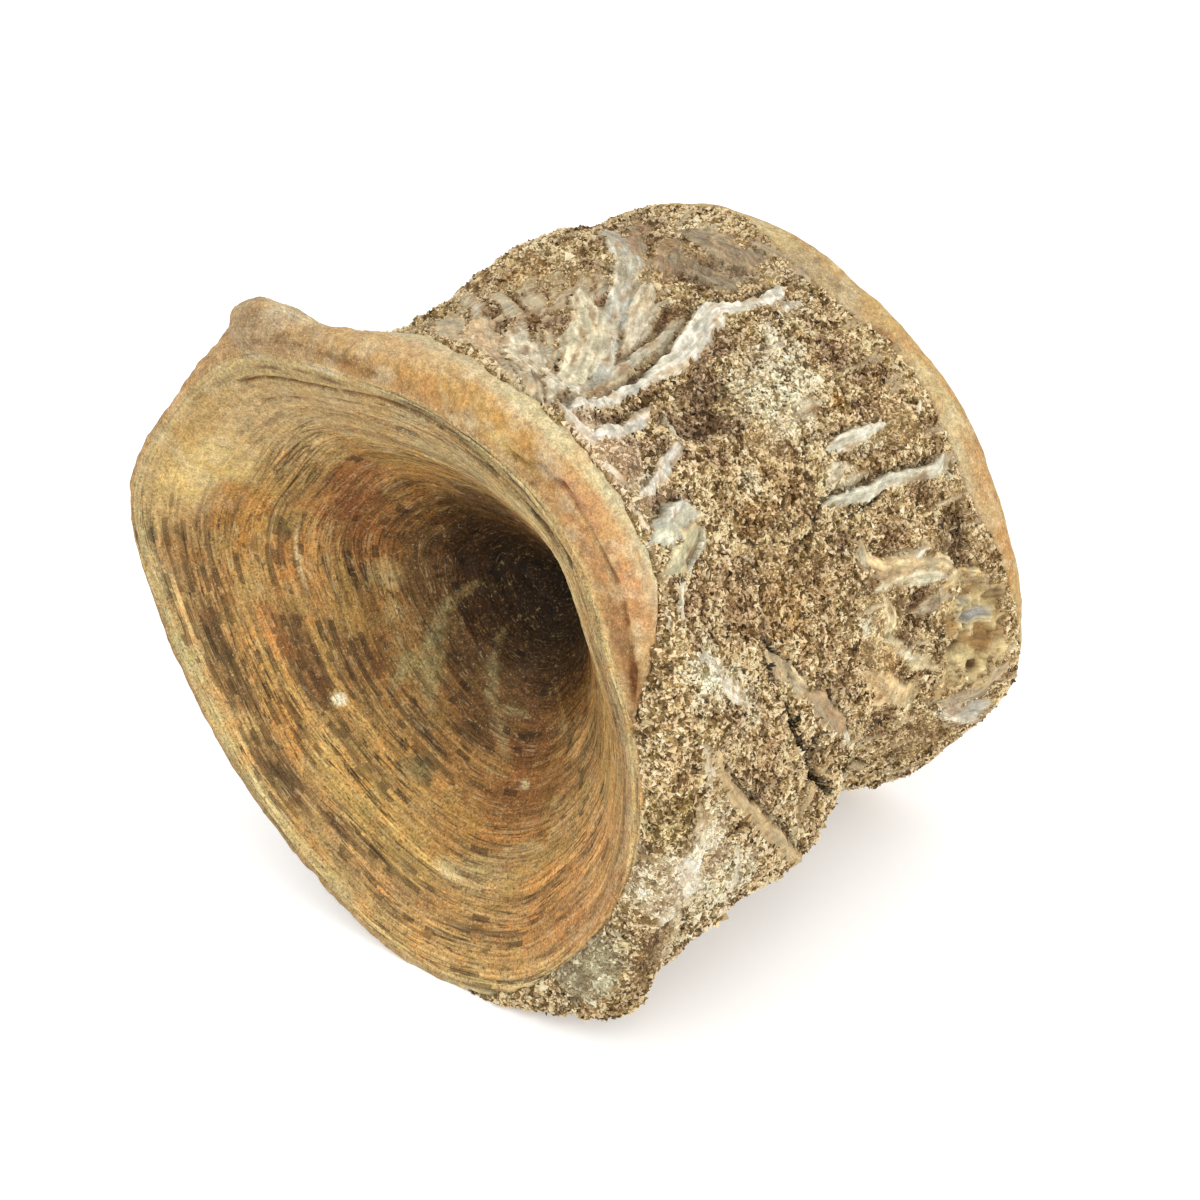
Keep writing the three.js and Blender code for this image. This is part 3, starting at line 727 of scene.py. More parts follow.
# Calcified lamellae that stand out of the rock: line, height, colour.
LAMELLAE = [
    ([(57.6, 3.4, 0.3), (59.0, 7, 0.45), (60.8, 12, 0.5), (62.4, 16, 0.5), (63.4, 19.5, 0.45),
      (64, 21.5, 0.8), (65, 24.5, 1.1), (67, 27.4, 1.2), (69.4, 30, 1.15), (71, 32.8, 1.1), (69.4, 35, 0.65),
      (69, 38, 0.55), (69.6, 40.5, 0.6), (70.8, 43, 0.5)], 1.05, "#e2dcca"),
    ([(61, 4, 0.3), (63.8, 8, 0.35), (66, 12, 0.4), (66.8, 16, 0.35), (68.2, 20, 0.4), (70, 24, 0.45),
      (72, 28, 0.4)], 0.8, "#c9bea4"),
    ([(52.8, 3.2, 0.45), (53.2, 7, 0.6), (54.6, 11, 0.55), (56.5, 14.5, 0.8), (58.4, 17.2, 0.4)], 0.6,
      "#ddd6c6"),
    ([(43, 4, 0.35), (43.4, 7, 0.5), (45.4, 10.5, 0.6), (47.6, 13.5, 0.7), (49.6, 16.5, 0.45)], 0.6,
      "#dad4c4"),
    ([(50, 16.9, 0.35), (53, 17.2, 0.4), (57, 18.3, 0.25)], 0.4, "#cfc6a8"),
    ([(62, 4, 0.7), (65, 7.5, 1.2), (68.5, 11, 1.5), (71, 13.6, 0.8)], 0.4, "#e6dcc2"),
    ([(67, 4.6, 0.9), (74, 9, 1.5), (81, 13, 1.6), (88, 16.4, 0.9)], 0.4, "#e0d2b4"),
    ([(73, 4.2, 0.8), (82, 9, 1.5), (90, 13.5, 1.5), (97, 17, 0.9)], 0.35, "#d3b48c"),
    ([(81, 4.6, 0.6), (89, 8.5, 1.2), (97, 13, 1.5), (105, 17, 1.2)], 0.3, "#ccb48e"),
    ([(66.5, 14, 0.4), (70, 17.6, 0.7), (76, 21.6, 1.0), (83.5, 27.4, 1.3), (88, 31, 1.2), (92, 33.8, 1.3),
      (98, 36.4, 1.3), (104, 38.8, 0.9)], 0.4, "#cdcab8"),
    ([(65.5, 9, 0.4), (68.5, 12, 1.0), (73, 16.2, 1.4), (78, 19.8, 1.6), (85, 23.8, 1.5), (92, 27, 0.8)],
      0.35, "#e0d4b2"),
    ([(70.5, 20, 0.35), (73.5, 23, 0.6), (78, 26.2, 0.9), (84.5, 32, 0.9)], 0.35, "#dccfb2"),
    ([(97, 26.4, 0.8), (99.5, 28.4, 0.9)], 0.2, "#d2c99f"),
    ([(65, 38.6, 0.4), (67, 41, 0.8), (66.5, 43, 0.7)], 0.2, "#d8d0bc"),
    ([(77, 41.6, 0.9), (81, 42.8, 2.2), (88, 43.4, 2.0), (95, 43, 1.2)], 0.4, "#83705a"),
    ([(74, 38, 0.8), (80, 37.6, 1.6), (87, 37.2, 1.4)], 0.35, "#806a52"),
    ([(68, 46, 0.5), (75, 46.3, 0.7), (84, 46, 0.5)], 0.3, "#a18b72"),
    ([(92, 35.4, 0.7), (98, 38.6, 1.0), (106, 44.5, 1.4)], 0.2, "#96785b"),
    ([(84, 34, 0.8), (89, 37, 1.4), (93, 41, 1.1)], 0.3, "#8f7156"),
    ([(36.8, 2.8, 0.7), (36.8, 5.5, 1.1), (37.4, 8.5, 1.5), (37.8, 11, 1.3), (37.5, 12.9, 0.8)], 0.55,
      "#d6d4bc"),
    ([(32.0, 2.9, 0.6), (32.4, 5.5, 1.1), (33.4, 8.5, 1.3), (34.6, 11, 1.1), (35.2, 12.6, 0.7)], 0.5,
      "#c6bc94"),
    ([(25.8, 3.4, 0.3), (28.5, 4.3, 0.45), (30.8, 5.6, 0.4)], 0.4, "#e2dcc6"),
    ([(38.6, 3, 0.25), (38.8, 6.5, 0.3), (39.8, 9.5, 0.35), (40.5, 12.4, 0.3)], 0.85, "#e4e0ce"),
    ([(30.6, 5.5, 0.15), (31.6, 8.5, 0.2), (33.2, 11.2, 0.22), (35.5, 12.7, 0.3)], 0.75, "#dad5bb"),
    ([(37.8, 31.2, 0.45), (37.7, 33, 0.68), (37.7, 36.5, 0.65), (37.6, 38.6, 0.4), (37.5, 41, 0.15)], 0.75,
      "#e0dac4"),
    ([(29.7, 28, 0.25), (29, 30, 0.4), (27.7, 33, 0.75), (28, 36, 0.6), (27.5, 38.5, 0.6), (26.4, 41, 0.6),
      (26, 43.8, 0.75), (28, 45.6, 0.3)], 1.1, "#cdc9b3"),
    ([(21, 31.4, 0.4), (17.5, 30.6, 0.7), (13.6, 33, 1.0), (11.5, 36.8, 1.2), (9.5, 40.4, 1.2),
      (5.8, 42.6, 0.8)], 0.4, "#d5bb8c"),
    ([(9, 32.4, 0.7), (4.5, 33.2, 0.8), (1.5, 32.4, 0.6), (-3, 34.4, 0.6), (-6.5, 36.6, 0.8),
      (-9.5, 39.4, 1.0)], 0.3, "#dccb9f"),
    ([(2.5, 29, 0.6), (6, 30.4, 0.9)], 0.2, "#dcd3b4"),
    ([(10.8, 31.4, 0.4), (10, 35, 0.6), (8.6, 38, 0.7), (7, 41, 0.5)], 0.3, "#d8ceae"),
    ([(-3, 28.6, 0.6), (-6.5, 30.8, 1.1), (-10, 33.2, 1.3), (-13.5, 35.6, 1.1), (-17, 37.8, 0.7)], 0.3,
      "#d8ba88"),
    ([(-21, 38.4, 0.6), (-16, 37.6, 0.9), (-11, 37.2, 0.7)], 0.25, "#cfb07c"),
    ([(-7, 37.4, 0.3), (-4.4, 35, 0.4), (0, 33.6, 0.4)], 0.3, "#e0d6b4"),
    ([(-17, 40.2, 0.6), (-12, 41, 0.8), (-8.5, 40.2, 0.6)], 0.25, "#d2b683"),
    ([(5.4, 40.4, 0.7), (6.6, 43, 0.5), (4.4, 46, 0.5)], 0.3, "#cfae74"),
    ([(-24, 47.4, 0.5), (-22, 44, 0.8), (-19, 41.4, 0.6)], 0.3, "#d4cebf"),
    ([(-18.6, 41, 0.5), (-16.5, 43.5, 0.9), (-14.4, 45.8, 1.0), (-11.8, 47.6, 0.7)], 0.3, "#a8957c"),
    ([(13, 37.4, 0.5), (13.5, 39.4, 0.4)], 0.2, "#d8d0b8"),
    ([(15, 30.6, 0.6), (18.5, 30.6, 0.8)], 0.2, "#dcd4bc"),
    ([(32.5, 29.6, 0.5), (34.5, 31.6, 0.7), (33, 34, 0.4)], 0.2, "#d6cbb0"),
    ([(36.5, 45, 0.6), (38.6, 46, 0.5)], 0.2, "#dccfb0"),
    ([(62, 34.6, 0.5), (64.5, 36.6, 0.6)], 0.2, "#d9ceb6"),
    ([(-28, 18.4, 0.5), (-22, 21, 0.8), (-17, 24.6, 0.7)], 0.2, "#b89a6c"),
    ([(12, 15.2, 0.25), (8, 16.6, 0.55), (3.6, 18.4, 0.8), (-1, 20.4, 0.8)], 0.75, "#c6b18a"),
    ([(0, 19.8, 0.5), (-3.5, 21.6, 1.0), (-7.5, 23.6, 1.1), (-11, 25.4, 0.9), (-14, 26.6, 0.6)], 0.8,
      "#a88a66"),
    ([(-12, 26.0, 0.5), (-15, 27.0, 0.7), (-18, 27.8, 0.5)], 0.6, "#cfc8b0"),
    ([(4.6, 17.6, 0.3), (6.8, 16.4, 0.6), (10.5, 15.3, 0.4), (12.2, 14.9, 0.2)], 0.7, "#c8b189"),
    ([(5, 4, 0.35), (-2, 6, 0.5), (-8, 8, 0.6), (-14, 11, 0.7), (-20, 14, 0.7), (-27, 17.8, 0.7),
      (-33, 21, 0.7), (-38, 23.8, 0.8)], 1.0, "#c0a577"),
    ([(-30, 10.4, 0.4), (-24, 9.8, 0.6), (-17, 9.2, 0.4)], 0.3, "#dcd3b8"),
    ([(-24, 12.2, 0.5), (-20, 11, 0.5)], 0.2, "#d8cfb6"),
    ([(-33, 5, 0.5), (-27, 3.4, 0.6), (-24, 1.6, 0.4)], 0.2, "#c9bd9c"),
    ([(-25, 5.2, 0.7), (-19, 3.2, 1.0), (-13, 1.6, 0.8)], 0.25, "#dbd8c6"),
    ([(-14, 4.6, 0.5), (-8, 3.0, 0.8), (-2, 1.8, 0.5)], 0.2, "#cfc3a4"),
    ([(-4, 5.0, 0.5), (2, 3.2, 0.7), (7, 2.4, 0.4)], 0.25, "#dfd2b2"),
    ([(19.4, 3.4, 0.7), (18, 5.0, 0.7), (16, 6, 0.4)], 0.25, "#dcdacd"),
    ([(19.5, 4.6, 0.7), (15, 5.8, 0.9), (11.5, 7.6, 1.0), (8.5, 9.4, 0.8), (5.2, 11, 0.6)], 0.25, "#e2dcc8"),
    ([(60, 3.5, 0.3), (57, 3.4, 0.5), (54.5, 3.2, 0.6), (51, 3.4, 0.3)], 0.12, "#e0d0bb"),
    ([(50, 2.9, 0.2), (48, 2.9, 0.5), (45.5, 3.2, 0.5), (44, 3.8, 0.3)], 0.12, "#dfd1bc"),
    ([(42.5, 2.8, 0.2), (40, 2.9, 0.45), (37, 3.0, 0.4)], 0.12, "#e2d6c0"),
    ([(31.5, 4.4, 0.25), (28.5, 4.0, 0.3), (25.5, 3.4, 0.28), (22, 2.8, 0.15)], 0.2, "#d8cfb8"),
    ([(36.5, 2.7, 0.25), (31, 2.5, 0.25), (24, 1.9, 0.15)], 0.15, "#d9cdb2"),
    ([(20, 15.4, 0.6), (18.4, 14.6, 0.5)], 0.2, "#d6c6a2"),
    ([(26, 17.4, 0.3), (28, 16.2, 0.4)], 0.2, "#d2c6aa"),
    ([(-24, 28, 0.4), (-31, 32, 0.6), (-36, 36, 0.6), (-40, 40, 0.5)], 0.7, "#b7a684"),
    ([(-60, 6, 0.5), (-66, 14, 0.6), (-72, 22, 0.7), (-70, 32, 0.6), (-74, 41, 0.4)], 0.6, "#c8b892"),
    ([(-96, 5, 0.4), (-92, 14, 0.6), (-95, 24, 0.7), (-101, 34, 0.6), (-99, 43, 0.4)], 0.7, "#cfc4a4"),
    ([(-126, 6, 0.4), (-122, 15, 0.6), (-127, 25, 0.7), (-124, 35, 0.5)], 0.6, "#c5b186"),
    ([(-158, 5, 0.4), (-153, 14, 0.7), (-157, 26, 0.6), (-150, 38, 0.5)], 0.7, "#d0c5a6"),
    ([(172, 6, 0.4), (166, 16, 0.6), (170, 27, 0.8), (164, 38, 0.5)], 0.7, "#c9b78d"),
    ([(140, 7, 0.4), (146, 16, 0.7), (143, 28, 0.7), (150, 39, 0.4)], 0.7, "#cdc2a2"),
    ([(-42, 14, 0.4), (-50, 20, 0.6), (-56, 29, 0.6), (-52, 38, 0.4)], 0.7, "#bfa878"),
]
LAMELLA_LIGHT = 1.2
# Stains of the lamellae: the noise at which one begins and is full, its strength and colour.
LAMELLA_STAINS = [
    (0.05, 0.5, 0.6, "#aea78a"), (-0.1, -0.45, 0.6, "#cfae7e"), (-0.45, -0.8, 0.6, "#927456"),
]
# The fan of calcite streaks over the top of the waist: where it spreads from, and its colours by streak.
FAN_CENTRE = (57, 0.0)
FAN_RAMP = [
    (-0.6, "#81644a"), (-0.3, "#a88a69"), (-0.05, "#c4ab84"), (0.2, "#d6c6a2"), (0.4, "#bdb294"),
    (0.6, "#e4d9be"), (0.8, "#c6a888"),
]
# Colours of the smoother streaks along the axis.
LONG_RAMP = [
    (0.2, "#b69b70"), (0.5, "#cdb78c"), (0.7, "#d9cfb4"), (0.9, "#c2b592"),
]
# Open cracks in the rock: line, depth. Their colour is darkened with their depth, as painted shade.
CRACKS = [
    ([(-25, 25.4, 0.25), (-22, 24.2, 0.35), (-18.5, 22.6, 0.4), (-15, 21.2, 0.5), (-11, 19.6, 0.4),
      (-8, 18.8, 0.35), (-5, 17.9, 0.35), (-3, 17.5, 0.4), (-0.5, 17.1, 0.3), (0.5, 16.7, 0.15)], 2.6),
    ([(3.8, 18.3, 0.2), (7, 17.7, 0.22), (9.5, 17, 0.25), (12, 15.8, 0.22), (14.5, 14.7, 0.2)], 1.1),
    ([(25.2, 30.4, 0.2), (25.6, 33, 0.25), (26, 35.2, 0.2)], 0.9),
    ([(24.8, 23.5, 0.2), (26, 25, 0.25), (28, 27, 0.22), (30, 28.5, 0.15)], 0.7),
    ([(-100, 10, 0.2), (-108, 18, 0.3), (-112, 26, 0.25), (-110, 34, 0.2)], 1.4),
    ([(158, 20, 0.2), (152, 27, 0.3), (155, 34, 0.2)], 1.2),
]
CRACK_EDGE = (1.2, 0.35)
# Broad swells and hollows of the rock: oval spot, height.
SWELLS = [
    ((53.5, 20.8, 5.5, 4), -1.1), ((50, 29, 9, 4), 0.6), ((-14, 22.2, 4.5, 1.8), -1.2),
    ((3.4, 37.4, 4, 2.6), -0.6), ((14, 43, 7, 2.2), -0.6), ((33, 24, 9, 5), 0.3), ((48, 38.5, 8, 4), -0.4),
    ((22, 28.6, 3, 1.8), -0.5), ((26, 6.5, 3.5, 3.5), -0.6), ((58, 6, 4, 3), -0.4), ((-3, 12, 6, 3), 0.5),
    ((80, 37, 6, 5), -0.5), ((110, 27, 8, 6), 0.5), ((92, 20, 6, 3), -0.4), ((18, 19, 7, 3), 0.3),
    ((12, 8, 3, 3), 0.3), ((-30, 8, 8, 5), 0.3), ((-22, 33, 6, 3), -0.5), ((-80, 25, 12, 8), 0.6),
    ((-130, 20, 12, 7), -0.7), ((12, 3.4, 10, 3.6), 0.9), ((-38, 33.5, 8, 4.5), -1.0),
    ((115, 9, 18, 6), -2.2), ((104, 6.2, 7, 2.6), -1.4), ((113, 17, 10, 5), -0.8),
    ((-30, 0.6, 40, 1.2), 0.35), ((180, 30, 12, 8), -0.6), ((150, 15, 10, 6), 0.6), ((-160, 12, 12, 5), 0.5),
    ((130, 36, 8, 5), -0.5),
]
# Hollow cells broken open at the far rim: where they are, their width and height, how far they stray from
# even rows, and the colours of their walls and floors.
CELL_FIELD = (-4.5, 43.8, 10.5, 3.8)
CELL_SIZE = (2.2, 1.8)
CELL_SPREAD = 0.45
# The walls' cream is partly their own colour, partly painted highlight on the raised rims.
CELL_WALL_AND_HIGHLIGHT = "#e4d09c"
CELL_SHADES = [
    "#a5824f", "#c9ae74", "#dac38c", "#94744a", "#b5ab96", "#a08150", "#cfb47c", "#a39a86",
]
# Single hollows and smooth faces among them: oval spot, depth, colour.
# The darkest colours are in the deepest pits: partly their own brown, partly painted shade.
CELLS = [
    ((-6.0, 44.6, 2.5, 2.1), 0.7, "#a17c4a"), ((3.5, 43.8, 1.8, 1.6), 0.5, "#ab8c5c"),
    ((1.0, 46.4, 1.8, 1.5), 0.5, "#b29668"), ((-1.5, 43.8, 1.3, 1.8), 0.3, "#a9a498"),
    ((-6.2, 41.2, 1.1, 0.8), 0.9, "#66481f"), ((-10.5, 43.2, 1.0, 0.7), 1.0, "#644628"),
    ((-21, 45.6, 3.0, 2.0), 0.2, "#cbc3b0"), ((-8.6, 42.4, 1.6, 1.2), 0.1, "#dcc690"),
]
# Smoother crusts on the rock, with fewer grains: oval spot, share.
CRUSTS = [
    ((-19, 3.4, 11, 4.0), 0.42), ((-33, 3.0, 9, 2.6), 0.38), ((-43, 0.2, 10, 0.6), 0.42),
    ((72, 24, 6, 9), 0.42), ((82, 40, 10, 5.5), 0.45), ((50, 5, 10, 2.8), 0.3), ((2, 32, 10, 3.2), 0.35),
    ((12, 38, 4, 5), 0.35), ((36, 41, 5, 4), 0.25), ((92, 24, 9, 6), 0.35), ((-28, 42, 8, 4), 0.3),
    ((44, 26, 5, 3), 0.2),
]
# Colours of the rock: its mean, and oval spots with a colour and a strength.
ROCK_BASE = "#b9a17a"
ROCK_LIGHT = 1.18
ROCK_TINT = np.array([1.0, 1.0, 0.98])
# The darkest brown spots lie on the hollows of SWELLS and on the deep crack: partly the rock's own brown,
# partly painted shade in them.
ROCK_SPOTS = [
    (34, 15, 5, 1.2, "#d2bd97", 0.5), (38, 21.2, 3.5, 1.4, "#e0d6bd", 0.8), (36, 24.5, 6, 3, "#a98c60", 0.5),
    (33, 20, 4, 3, "#9a7746", 0.7), (18, 19, 7, 4, "#94713f", 0.7), (17, 24, 8, 3, "#97774a", 0.6),
    (46, 14.5, 3, 2, "#8d6b4b", 0.6), (45, 19, 4, 1.5, "#8f6f50", 0.6),
    (53, 20.2, 5.0, 3.6, "#6b4c33", 0.78), (58.0, 24.6, 4.0, 3.6, "#6c4d35", 0.75),
    (49.5, 23.4, 4, 1.4, "#6d5138", 0.8), (60.5, 17, 1.5, 5, "#8a6a4c", 0.5),
    (49, 29.6, 9, 4.2, "#dbd0b6", 0.85), (56, 33.4, 7, 4.0, "#e2d9c2", 0.8),
    (57, 33.2, 1.6, 0.7, "#ece5d0", 0.9), (45, 36.6, 1.6, 0.9, "#d8b476", 0.9),
    (54.5, 40.5, 5, 1.8, "#76563a", 0.8), (42, 39, 2.4, 2.6, "#7f5f41", 0.7), (47, 43, 4, 2, "#8a6844", 0.6),
    (63, 38.5, 1.6, 2.4, "#d9cba8", 0.6), (66, 42.5, 2.4, 2, "#c9bda4", 0.6),
    (80, 39, 6, 4, "#7b6450", 0.75), (72, 44.5, 4, 1.4, "#a89680", 0.5), (88, 18.5, 6, 2.5, "#9f7c5c", 0.6),
    (92, 21, 5, 2, "#a5835e", 0.5), (99, 22, 5, 4, "#93724f", 0.6), (88, 27, 5, 2, "#96755a", 0.6),
    (104, 27, 4, 3, "#b08c58", 0.6), (98, 37.5, 6, 3, "#8a6c50", 0.6), (105, 44, 8, 3, "#8f7458", 0.6),
    (94, 44.8, 3, 1.2, "#c4b393", 0.6), (26, 6.5, 3, 3.4, "#8b6846", 0.7), (19, 12.5, 5, 2, "#8e6b45", 0.6),
    (11, 7.4, 4.5, 2.6, "#e2d9c2", 0.85), (5, 11.4, 3.5, 2, "#d9cfb6", 0.7), (4, 8, 3, 2.4, "#937154", 0.5),
    (-4, 13, 5, 2.4, "#a1825a", 0.5), (0, 15.6, 5, 1.2, "#c2a980", 0.5), (-15, 7.5, 8, 1.6, "#9c7f5b", 0.5),
    (-22, 9, 6, 1.6, "#c6b794", 0.5), (-22, 12.5, 5, 1.6, "#b9a88a", 0.5),
    (-34, 1.6, 14, 1.0, "#7e6546", 0.7), (-15, 1.8, 10, 0.9, "#cfc7ae", 0.7),
    (0, 1.4, 6, 0.9, "#a58458", 0.6), (-14, 22.4, 4, 1.5, "#5d4226", 0.95),
    (10, 20.6, 6, 1.4, "#a27f4e", 0.5), (5, 24.5, 5, 2.4, "#a98b62", 0.4), (-3, 26, 4, 1.6, "#8a6a46", 0.6),
    (22, 22, 3, 3, "#a88e62", 0.4), (22, 28.6, 2.4, 1.4, "#6a4d2e", 0.8), (28, 26, 3, 1.4, "#7c5f3e", 0.6),
    (33, 26, 4, 2.4, "#8a6a40", 0.6), (5, 29.8, 3, 1.4, "#d6cab0", 0.6), (12, 30.5, 2, 1.4, "#7d5f3c", 0.7),
    (17, 31.3, 3, 0.9, "#d8cbaa", 0.7), (19, 29.4, 1, 0.5, "#e4d9bf", 0.9),
    (18, 35.5, 4, 2.4, "#8a6a44", 0.6), (13, 38, 2, 1, "#dfd3b8", 0.6), (31.5, 33, 2, 6, "#a5875c", 0.4),
    (32, 39, 3, 2, "#8c6e49", 0.5), (3.4, 37.4, 4, 2.4, "#6d4f33", 0.8), (-2, 35, 2.4, 1, "#745735", 0.8),
    (14, 43.4, 7, 1.8, "#644a2e", 0.75), (22, 41, 4, 1.6, "#76593a", 0.7),
    (31, 44.6, 3, 1.2, "#8b6c48", 0.6), (-8, 32.5, 7, 3, "#bf9d6c", 0.7), (-20, 33, 6, 3, "#8f7046", 0.6),
    (-22, 36.5, 4, 2, "#84643c", 0.6), (-25, 30, 4, 3, "#8a6d45", 0.5), (-27, 41, 8, 2, "#b09972", 0.5),
    (-34, 41.5, 4, 1.4, "#77603f", 0.6), (-32, 45, 6, 1.6, "#a58a5c", 0.6),
    (-20, 43.5, 4, 2.4, "#b5aa92", 0.7), (24, 45, 1.6, 0.8, "#8f8a78", 0.6),
    (-17, 3.6, 10, 4.2, "#f4ebd8", 0.9), (-26, 9.5, 6, 4, "#eadfc8", 0.85), (-33, 5, 8, 2.6, "#d5cab0", 0.6),
    (16, 4.6, 5, 2.6, "#e6dfca", 0.85), (-6, 1.0, 6, 1.4, "#a08a5c", 0.8), (2, 5, 5, 2.4, "#c9b394", 0.6),
    (52, 5.4, 8, 3.2, "#e6d2bb", 0.8), (44, 6.4, 4, 4.4, "#d9c7ae", 0.6),
    (-42, 0.1, 12, 0.5, "#a79f86", 0.85), (-46, 2.6, 9, 1.6, "#93784f", 0.7), (90, 19, 8, 3, "#8f6c4c", 0.7),
    (75, 27, 2.6, 4.5, "#7d5d43", 0.8), (86, 26, 7, 2, "#8a6850", 0.8),
    (64.8, 17.5, 1.4, 3.5, "#6c4f3b", 0.8), (69.4, 17, 1.2, 4, "#75563f", 0.8),
    (51, 12, 1.4, 4.5, "#7c5c44", 0.7), (56.6, 10, 1.0, 5, "#7a5a40", 0.7),
    (41.5, 9, 1.6, 5, "#876547", 0.7), (47.5, 5, 2.6, 2, "#8b6a50", 0.6), (63.5, 28, 1.8, 4, "#745440", 0.7),
    (35, 37, 1.2, 4, "#d6ccb2", 0.6), (30, 31, 6, 3, "#d0c3a2", 0.6), (52, 27, 6, 2.2, "#d2c7ab", 0.6),
    (40, 27, 3, 2, "#8a6a48", 0.6), (-10, 12.5, 7, 3, "#9a7c58", 0.6), (24, 13, 6, 4, "#8d6c49", 0.6),
    (-70, 20, 20, 8, "#a68c64", 0.5), (-100, 34, 18, 8, "#c9bfa1", 0.5), (-120, 14, 16, 7, "#896a49", 0.6),
    (-150, 34, 16, 8, "#977952", 0.5), (-175, 14, 14, 7, "#c8bb98", 0.5), (165, 36, 14, 7, "#8a6c4b", 0.6),
    (140, 20, 14, 8, "#b7a077", 0.5), (125, 40, 10, 5, "#c7bc99", 0.5),
]
# How strongly clumps and the gaps between them change red, green and blue.
CLUMP_TINT = np.array([0.8, 1.0, 1.2])
# How much slower fibres change along a streak than across it.
FIBRE_STRETCH = 0.15


def fibre_place(across, along, shift):
    """Coordinates across and along a streak for its fibres, apart from those of other streaks by a shift."""
    return np.stack([across, FIBRE_STRETCH * along, shift + 0 * along], -1)


def honeycomb(degrees, back):
    """Small irregular cells: how near a place is to a wall (0 on it), how far up in its cell it is, and a
    random number for each cell."""
    x = turned(degrees, CELL_FIELD[0]) * WAIST_DEGREE / CELL_SIZE[0]
    y = back / CELL_SIZE[1]
    nearest = np.full(x.shape, 9.0)
    second = np.full(x.shape, 9.0)
    number = np.zeros(x.shape, int)
    rise = np.zeros(x.shape)
    for i, j in np.ndindex(3, 3):
        column = np.floor(x).astype(int) + i - 1
        row = np.floor(y).astype(int) + j - 1
        pick = SHUFFLE[(SHUFFLE[column & 255] + row) & 255]
        up = x - column - 0.5 - CELL_SPREAD * SLOPES[pick, 0]
        away = np.hypot(up, y - row - 0.5 - CELL_SPREAD * SLOPES[pick, 1])
        closer = away < nearest
        second = np.where(closer, nearest, np.minimum(second, away))
        nearest = np.where(closer, away, nearest)
        number = np.where(closer, pick, number)
        rise = np.where(closer, up, rise)
    return second - nearest, np.clip(rise, -0.6, 0.6), number


def cell_depth(degrees, back, points):
    """Depth of the broken cells at the far rim, and the colour, with painted shade and highlight, and the
    amount of each place in them.
    """
    wobble = rough(points, 1.2, 3, 40)
    field = blob(degrees, back, CELL_FIELD, wobble)
    wall, rise, number = honeycomb(degrees + 2 * wobble, back + 0.3 * wobble)
    in_cell = step(0.03, 0.22, wall)
    depth = field * in_cell * (0.35 + 0.5 * (number % 16) / 16 + 0.9 * rise)
    shades = np.array([linear(name) for name in CELL_SHADES])[number % len(CELL_SHADES)]
    # Painted shade: each cell's floor is darker on the side where it lies deeper.
    shades = shades * (1.05 - 0.55 * rise + 0.2 * noise(points * 1.8, 56))[..., None]
    # Painted highlight: the pale colour on the walls round the cells.
    colour = toward(linear(CELL_WALL_AND_HIGHLIGHT), in_cell, shades)
    amount = field
    for spot, deep, name in CELLS:
        inside = blob(degrees, back, spot, 0.5 * wobble)
        depth = depth * (1 - 0.6 * inside) + deep * inside * (1 + rise)
        colour = toward(colour, inside, linear(name))
        amount = np.maximum(amount, inside)
    return depth, colour, amount


def fan_streaks(degrees, back, points):
    """Streaks of smooth calcite that fan out over the top of the waist: their value, how far a place is in,
    its distance from the fan's centre, and coordinates across and along the streaks."""
    x = turned(degrees, FAN_CENTRE[0]) * WAIST_DEGREE
    y = back - FAN_CENTRE[1]
    reach = np.hypot(x, y)
    angle = np.degrees(np.arctan2(x, y)) + 2.0 * rough(points, 6.0, 2, 49)
    streak = streaky(angle * 0.4, reach * 0.10, 0, 50) + 0.6 * streaky(angle * 1.1, reach * 0.16, 5, 51)
    edge = 4 * rough(points, 2.5, 3, 52)
    inside = step(8, 16, angle + edge) * step(68, 56, angle + edge)
    inside *= step(1.5, 4, reach) * step(42, 27, reach + edge)
    return streak, inside, reach, fibre_place(np.radians(angle) * reach, reach, 0)


def long_streaks(degrees, back, points):
    """Streaks of smoother matter along the axis, over the back half of the rock: their value, how bare, and
    coordinates across and along them."""
    x = degrees * WAIST_DEGREE + 0.5 * rough(points, 4.0, 2, 57)
    streak = streaky(x / 1.3, back / 7, 3, 58) + 0.5 * streaky(x / 0.5, back / 5, 8, 59)
    zone = step(24, 31, back + 2 * noise(points / 5, 60))
    return streak, zone * step(0.25, 0.6, streak), fibre_place(x, back, 5)


def lamella_colour(name, side, run, lean, points, seed):
    """Colour over one lamella: fibres along it, grey-green and honey stains, and a painted highlight along
    its higher edge.
    """
    fibre = streaky(side * 1.9, run * 0.22, seed, 47)
    stain = streaky(side * 1.1, run * 0.3, seed, 48) + 0.5 * noise(points * 1.3, 61)
    colour = LAMELLA_LIGHT * linear(name) * (1 + 0.35 * fibre)[..., None]
    for low, high, strength, other in LAMELLA_STAINS:
        colour = toward(colour, strength * step(low, high, stain), linear(other))
    # Painted highlight: the side of the lamella that stands higher is made lighter.
    return colour * (1 + 0.25 * step(0.3, 0.9, lean))[..., None], fibre


